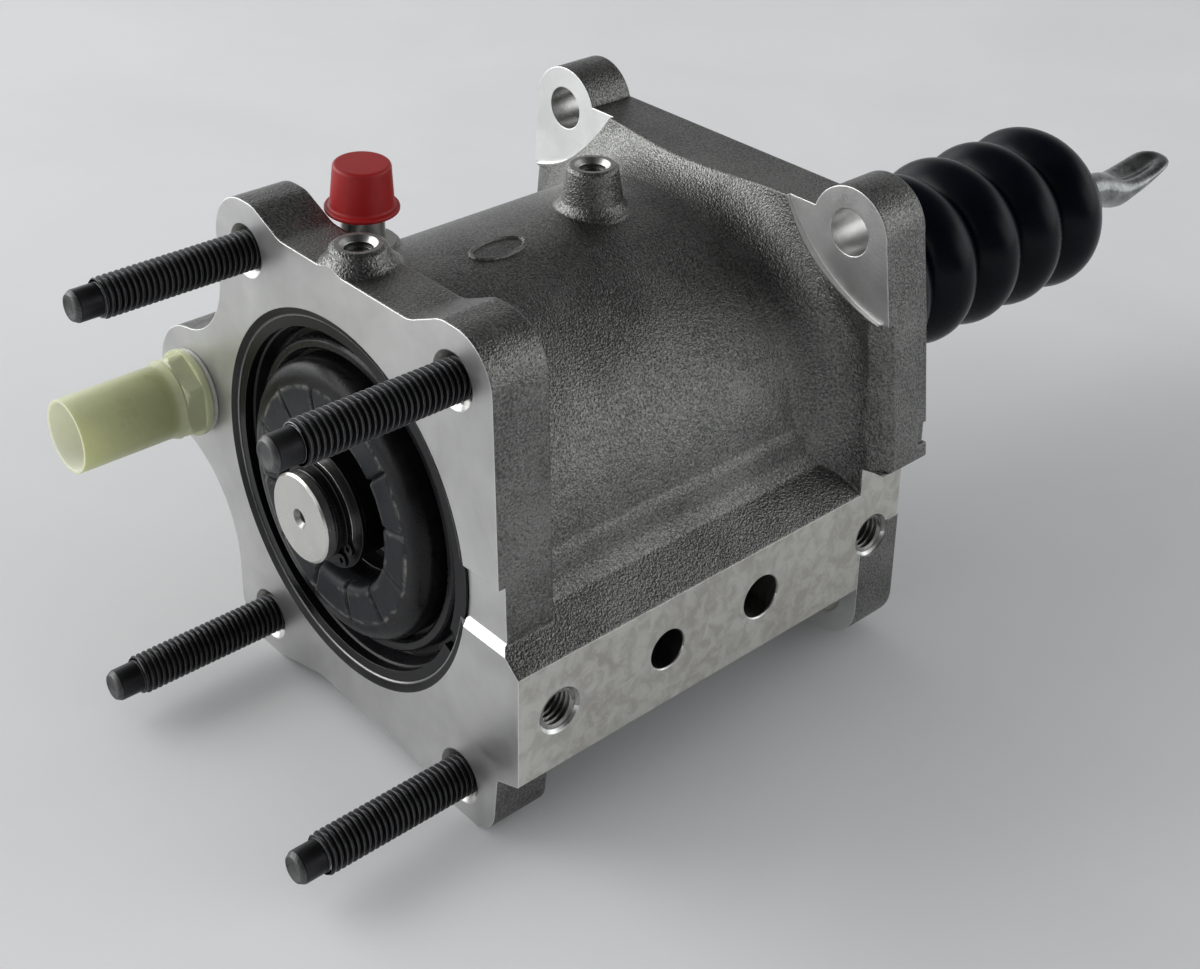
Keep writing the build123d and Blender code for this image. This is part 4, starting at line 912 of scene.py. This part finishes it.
# %% Bellows
BOOT_START, BOOT_PITCH, BOOT_FOLDS = 151.0, 21.0, 6
BOOT_END = BOOT_START + BOOT_PITCH * BOOT_FOLDS
BOOT_CREST_R, BOOT_VALLEY_R, BOOT_WALL = 26.6, 19.2, 1.8
BOOT_MOUTH_Y = 140.2
BOOT_DROOP, DROOP_START, DROOP_LENGTH = 2.4, 150.0, 138.0
ROD_TILT = math.radians(2.2)
ROD_BALL_Y = 151.0


def boot_folds(shrink, steps):
    out = []
    for k in range(BOOT_FOLDS):
        for j in range(steps + (k == BOOT_FOLDS - 1)):
            t = j / steps
            lift = math.sin(math.pi * t) ** 0.72 if 0 < t < 1 else 0.0
            r = BOOT_VALLEY_R - shrink + (BOOT_CREST_R - BOOT_VALLEY_R) * lift
            out.append((r, BOOT_START + BOOT_PITCH * (k + t)))
    return out


def boot_profile():
    """Once round the section: the mouth, the folds, the nose with its lip, and back inside."""
    mouth = [(22.2, BOOT_MOUTH_Y), (23.4, 140.4), (23.5, 141.0), (23.4, 147.5), (21.8, 149.5)]
    nose = [(19.4, 1.5), (18.6, 4.5), (16.2, 7.6), (12.0, 9.2), (8.8, 9.6), (7.6, 10.3), (7.3, 11.8),
            (6.4, 12.0), (5.7, 11.5), (5.6, 7.5), (12.0, 7.2), (16.2, 3.0), (17.4, 0.0)]
    nose = [(r, BOOT_END + y) for r, y in nose]
    inside = boot_folds(BOOT_WALL, 8)[::-1] + [(21.1, 149.0), (21.1, BOOT_MOUTH_Y)]
    return mouth + boot_folds(0.0, 20) + nose + inside + mouth[:1]


def make_boot():
    points = spun(boot_profile(), 96)
    y = points[..., 1]
    droop = BOOT_DROOP * np.clip((y - DROOP_START) / DROOP_LENGTH, 0, 1.1) ** 1.2
    to_nose = np.clip((y - BOOT_END) / 8.0, 0, 1)
    at_rod = math.tan(ROD_TILT) * (BOOT_END + 9.0 - ROD_BALL_Y)
    points[..., 2] -= droop + (at_rod - BOOT_DROOP) * to_nose ** 2 * (3 - 2 * to_nose)
    points[..., 0] += BORE_X
    made = sheet_of("bellows", points * MM, wrap=True, sharp=50.0, weld=1e-6)
    settle(made, boot_rubber, "boot_rubber", None, "dust_boot")
    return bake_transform(made)


boot = make_boot()
print("bellows faces:", len(boot.data.polygons))

# %% [markdown]
# ## Return spring
# A round wire is wound round the shaft, and its end turns lie flat on their seats. A curve with a
# bevel would give the wire, but its end turns are easier to close in a formula: the rise per turn is
# small at both ends and even in between. The mesh rides neither the piston nor the casting.

# %% Spring
SPRING_FRONT, SPRING_REAR = 23.5, 106.0
SPRING_R = 30.0
WIRE_R = 2.15


def make_spring():
    start, end = SPRING_FRONT + 0.3, SPRING_REAR - 0.3
    turns, steps_per_turn, wire_steps = 5.5, 40, 14
    end_turn, end_rise = 0.9 / turns, 0.052
    t = np.linspace(0, 1, int(turns * steps_per_turn) + 1)
    angle = 2 * math.pi * turns * t
    rise = np.interp(t, [0, end_turn, 1 - end_turn, 1], [0, end_rise, 1 - end_rise, 1])
    centre = np.stack([SPRING_R * np.cos(angle), start + (end - start) * rise, SPRING_R * np.sin(angle)], -1)
    radial = np.stack([np.cos(angle), 0 * angle, np.sin(angle)], -1)
    along = np.gradient(centre, axis=0)
    along /= np.linalg.norm(along, axis=1)[:, None]
    side = np.cross(along, radial)
    centre, radial, side = [np.vstack([v[:1], v, v[-1:]]) for v in (centre, radial, side)]
    nearly_closed = [0.02]
    size = np.concatenate([nearly_closed, np.full(len(t), WIRE_R), nearly_closed])[:, None, None]
    a = round_the_clock(wire_steps)[None, :, None]
    points = centre[:, None] + size * (radial[:, None] * np.cos(a) + side[:, None] * np.sin(a))
    points[..., 0] += BORE_X
    made = sheet_of("coil_spring", points * MM, wrap=True, sharp=50.0)
    settle(made, spring_steel, "spring_steel", None, "return_spring")
    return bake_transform(made)


spring = make_spring()
print("spring faces:", len(spring.data.polygons))

# %% [markdown]
# ## Push rod
# The rod is a round bar with a ball inside the shaft, and its far end is forged into a dished tongue
# that turns up. Forging leaves no sharp edge, so the rod is drawn as cross sections along its length:
# each is an ellipse with a width, a height and a lift, and the dish is pressed into the upper half.

# %% Push rod
BALL_R, NECK_R, BAR_R = 5.9, 4.4, 5.25
DISH_START, DISH_END = 160, 190.0
BAR_STATIONS = [(6.0, NECK_R, NECK_R, 0.0), (9.0, NECK_R, NECK_R, 0.0), (12.0, BAR_R, BAR_R, 0.0),
                (80.0, BAR_R, BAR_R, 0.0), (149.0, BAR_R, BAR_R, 0.0), (152.0, 5.4, 5.3, -0.2)]
TONGUE_STATIONS = [(155, 5.8, 5.7, -0.9), (158, 6.4, 6.1, -1.8), (161, 6.9, 6.2, -2.5), (163, 7.2, 6.0, -2.8),
                   (165, 7.4, 5.5, -2.7), (168, 7.6, 4.7, -2.1), (172, 7.7, 3.9, -1.3), (176, 7.6, 3.3, -0.4),
                   (180, 7.4, 2.7, 0.6), (184, 7.1, 2.2, 1.7), (187, 6.6, 1.8, 2.5), (189, 5.6, 1.5, 3.0),
                   (190.4, 4.0, 1.1, 3.3), (191.0, 2.0, 0.6, 3.5)]


def rod_section(s, wide, tall, lift, a):
    """The ellipse at a distance s from the ball, with the dish pressed in where the tongue is."""
    x, z = wide * np.cos(a), tall * np.sin(a)
    if s > DISH_START:
        fade = min(1.0, (s - DISH_START) / 8.0) * max(0.0, min(1.0, (DISH_END - s) / 4.0))
        deep = fade * min(3.2, 1.1 * tall)
        z = z - deep * np.exp(-(x / (0.5 * wide)) ** 2) * np.clip(np.sin(a), 0, 1)
    return np.stack([x, np.full(len(a), s), z + lift], -1)


def make_rod():
    steps = 48
    a = round_the_clock(steps)
    ball = [(-BALL_R * math.cos(t), BALL_R * math.sin(t), BALL_R * math.sin(t), 0.0)
            for t in np.linspace(0, 0.78 * math.pi, 10)]
    rings = [rod_section(*station, a) for station in ball + BAR_STATIONS + TONGUE_STATIONS]
    ends = [np.repeat(ring.mean(0)[None], steps, 0) for ring in (rings[0], rings[-1])]
    points = np.array(ends[:1] + rings + ends[1:])
    y, z = points[..., 1].copy(), points[..., 2].copy()
    points[..., 1] = ROD_BALL_Y + y * math.cos(ROD_TILT) + z * math.sin(ROD_TILT)
    points[..., 2] = z * math.cos(ROD_TILT) - y * math.sin(ROD_TILT)
    points[..., 0] += BORE_X
    made = sheet_of("rod", points * MM, wrap=True, sharp=45.0, weld=1e-6)
    return settle(made, zinc_steel, "zinc_steel", "piston", "push_rod")


rod = make_rod()
print("rod faces:", len(rod.data.polygons))

# %% [markdown]
# ## Red cap
# A soft cap is pressed over the service port and leans a little to the right. It is a spun profile
# with rounded corners. The lean is a small turn about the foot of the cap.

# %% Red cap
CAP_FOOT = 60.8
CAP_LEAN = math.radians(2.9)


def make_cap():
    outside = [(5.7, CAP_FOOT + 0.1), (9.1, CAP_FOOT, 0.5), (9.1, 61.9, 0.5), (7.8, 62.0, 0.7),
               (7.0, 72.9, 1.0), (0.0, 72.6)]
    inside = [(0.0, 71.1), (5.7, 71.1), (5.7, CAP_FOOT + 0.1)]
    points = spun(rounded(outside, 5) + inside, 64, "Z")
    x, up = points[..., 0].copy(), points[..., 2] - CAP_FOOT
    points[..., 0] = x * math.cos(CAP_LEAN) + up * math.sin(CAP_LEAN) + PORT_AXIS[0]
    points[..., 2] = CAP_FOOT - x * math.sin(CAP_LEAN) + up * math.cos(CAP_LEAN)
    points[..., 1] += PORT_AXIS[1]
    made = sheet_of("cap", points * MM, wrap=True, sharp=40.0, weld=1e-6)
    return settle(made, red_plastic, "red_plastic", "service_cap", "red_cap")


cap = make_cap()
print("cap faces:", len(cap.data.polygons))

# %% [markdown]
# ## Green plug
# A thin open tube stands on a hexagonal collar, and its spigot closes the port in the ear. A hexagon
# can be a ring of the same grid: the distance to a flat is the flat's own distance over a cosine.
# A round limit then takes the corners off, as a lathe does on a real collar.

# %% Green plug
TUBE_BORE_R, TUBE_R = 8.75, 9.75
TUBE_FLOOR, TUBE_END = -9.0, -36.7
FLAT_R, CORNER_R = 10.3, 11.55
SPIGOT_R, SPIGOT_END = 7.2, 12.0


def plug_rings(a):
    """The rings of the plug from the floor of its tube, over the rim and the collar, to the spigot."""
    tube = rounded([(TUBE_BORE_R, TUBE_FLOOR), (8.8, TUBE_END + 0.1, 0.3), (9.7, TUBE_END, 0.35),
                    (TUBE_R, -10.5, 0.6), (10.6, -8.6)], 3)
    sixth = math.pi / 3
    flats = FLAT_R / np.cos((a + sixth / 2) % sixth - sixth / 2)
    hexagon = np.minimum(flats, CORNER_R)
    collar = [(FLAT_R, -8.4), (11.0, -8.0), (12.0, -7.2), (12.0, -3.6)]
    flange = [(11.6, -3.5), (11.65, -3.2), (11.65, -1.9), (11.4, -1.6), (SPIGOT_R, -1.6)]
    spigot = [(SPIGOT_R, SPIGOT_END - 0.6), (SPIGOT_R - 0.6, SPIGOT_END), (0.0, SPIGOT_END)]
    return ([(0.0, TUBE_FLOOR)] + tube + [(np.minimum(hexagon, r), y) for r, y in collar] + flange + spigot)


def make_plug():
    x, z = EAR_AXIS
    a = round_the_clock(96)
    rings = [np.stack([r * np.cos(a), np.full(len(a), y), r * np.sin(a)], -1) for r, y in plug_rings(a)]
    points = np.array(rings) + np.array((x, 0, z))
    made = sheet_of("plug", points * MM, wrap=True, sharp=28.0, weld=1e-6)
    settle(made, green_plastic, "green_plastic", "air_plug", "green_plug")
    made.data.materials.append(green_inside_painted_light)
    # The inside of the tube gets the pale finish, painted light that shines in at the open end.
    for face in made.data.polygons:
        from_axis = math.hypot(face.center[X] / MM - x, face.center[Z] / MM - z)
        if from_axis < 9.0 and face.center[Y] / MM < TUBE_FLOOR + 0.1:
            face.material_index = 1
    return made


plug = make_plug()

# %% [markdown]
# ## Floor
# The booster lies on pale paper, so the floor is one plane just below its lowest point, wide enough to
# fill the picture. Its tone hardly changes, but a perfectly even floor would look drawn.

# %% Floor
FLOOR_Z = -0.06305
bpy.ops.mesh.primitive_plane_add(size=12.0, location=(0, 0, FLOOR_Z))
floor = bpy.context.object
floor.name = "floor"
paper, tree, shader = start_finish("paper_floor")
marks = use(tree, HANDLED, Low=0.7, High=0.85, Scale=7.0)
paper_tone = mix(tree, marks.outputs["Mask"], (0.77, 0.775, 0.785), (0.80, 0.805, 0.81))
tree.links.new(paper_tone, shader.inputs["Base Color"])
tree.links.new(marks.outputs["Value"], shader.inputs["Roughness"])
floor.data.materials.append(paper)
print("floor at mm:", FLOOR_Z / MM)

# %% [markdown]
# ## The room
# The shine on the photo's metal shows the room it stands in: bright at the back left and from two soft
# windows, at the front left and the back right, and dark overhead and at the front right. Yet the
# paper is evenly bright. One world can't do both, so the Light Path node splits it: shiny surfaces see
# the room with its dark parts, and everything else is lit by an even glow. The windows serve both.

# %% World
FRONT_LEFT = (-0.72, -0.62, 0.36)
BACK_RIGHT = (0.64, 0.62, 0.42)
BACK_LEFT = (-0.71, 0.70, 0.0)

world = bpy.data.worlds.new("studio")
bpy.context.scene.world = world
world.use_nodes = True
sky = world.node_tree
sky.nodes.clear()
direction = add(sky, "ShaderNodeTexCoord").outputs["Generated"]
height = add(sky, "ShaderNodeSeparateXYZ", {"Vector": direction}).outputs["Z"]


def towards(aim):
    """One where a ray goes the way of the aim, less the more it turns away."""
    made = add(sky, "ShaderNodeVectorMath", {0: direction, 1: aim}, operation="DOT_PRODUCT")
    return made.outputs["Value"]


def window(aim, start, end, power):
    """A soft bright patch round one aim, cut off towards the ceiling. Start and end are cosines."""
    facing = towards(Vector(aim).normalized())
    patch = add(sky, "ShaderNodeMapRange", {"Value": facing, "From Min": start, "From Max": end,
                                            "To Max": power}, interpolation_type="SMOOTHSTEP")
    return times(sky, patch.outputs[0], remap(sky, height, 0.4, 0.66, 1.0, 0.05))


def make_room():
    """The strength of the world for every direction."""
    reflected = add(sky, "ShaderNodeLightPath").outputs["Is Glossy Ray"]
    lit_room = remap(sky, height, 0.1, 0.75, 0.50, 0.35)
    seen_room = times(sky, remap(sky, towards(BACK_LEFT), -0.5, 0.6, 0.08, 0.54),
                      remap(sky, height, 0.3, 0.8, 1.0, 0.18))
    room = plus(sky, times(sky, lit_room, minus(sky, 1.0, reflected)), times(sky, seen_room, reflected))
    windows = plus(sky, window(FRONT_LEFT, 0.30, 0.95, 2.1), window(BACK_RIGHT, 0.74, 0.98, 1.35))
    return plus(sky, room, windows)


glow = add(sky, "ShaderNodeBackground", {"Color": (0.98, 0.99, 1.0, 1.0), "Strength": make_room()})
sky_out = add(sky, "ShaderNodeOutputWorld")
sky.links.new(glow.outputs[0], sky_out.inputs["Surface"])
print("world nodes:", len(sky.nodes))

# %% [markdown]
# ## Key lamp
# The shadows in the photo are soft and fall to the right and to the rear. One large lamp in front, up
# on the left, gives them. A smaller one would draw hard edges.


# %% Lamp
def lamp(name, stands_at, aim, size, power):
    data = bpy.data.lights.new(name, "AREA")
    data.shape = "RECTANGLE"
    data.size, data.size_y = size
    data.energy = power
    made = bpy.data.objects.new(name, data)
    bpy.context.scene.collection.objects.link(made)
    made.location = stands_at
    made.rotation_mode = "QUATERNION"
    made.rotation_quaternion = (Vector(aim) - Vector(stands_at)).to_track_quat("-Z", "Y")
    return made


lamp("key", (-1.15, -0.75, 0.85), (0, 0.08, 0), (1.2, 0.9), 9.0)

# %% [markdown]
# ## Camera
# The camera stands where the photo was taken from. Its place, its three angles and its focal length
# were worked out from the photo: one perspective had to put the bore's mouth, the studs, the rail
# holes and the rear ears where the photo has them. The lengths in pixels belong to an image 1200
# pixels wide.

# %% Camera
IMAGE_WIDTH = 1200
SENSOR_WIDTH = 36.0
FOCAL_PIXELS = 1877.33
SHIFT_PIXELS = -285.2
CAMERA_AT = (0.31242, -0.20539, 0.24901)
AZIMUTH, ELEVATION, ROLL = (math.radians(v) for v in (47.927, 24.450, 1.024))


def make_camera():
    right = Vector((math.cos(AZIMUTH), math.sin(AZIMUTH), 0))
    ahead = Vector((-math.sin(AZIMUTH) * math.cos(ELEVATION), math.cos(AZIMUTH) * math.cos(ELEVATION),
                    -math.sin(ELEVATION)))
    up = right.cross(ahead)
    across = right * math.cos(ROLL) + up * math.sin(ROLL)
    upward = up * math.cos(ROLL) - right * math.sin(ROLL)
    data = bpy.data.cameras.new("camera")
    data.sensor_width = SENSOR_WIDTH
    data.lens = FOCAL_PIXELS / IMAGE_WIDTH * SENSOR_WIDTH
    data.shift_y = SHIFT_PIXELS / IMAGE_WIDTH
    data.clip_start, data.clip_end = 0.01, 50.0
    made = bpy.data.objects.new("camera", data)
    bpy.context.scene.collection.objects.link(made)
    turn = Matrix((across, upward, -ahead)).transposed().to_4x4()
    made.matrix_world = Matrix.Translation(CAMERA_AT) @ turn
    bpy.context.scene.camera = made
    return made


camera = make_camera()
bpy.context.scene.view_settings.view_transform = "Standard"
print("lens mm:", round(camera.data.lens, 2))

# %% [markdown]
# ## Last update
# The view layer is brought up to date.

# %% Finish
bpy.context.view_layer.update()
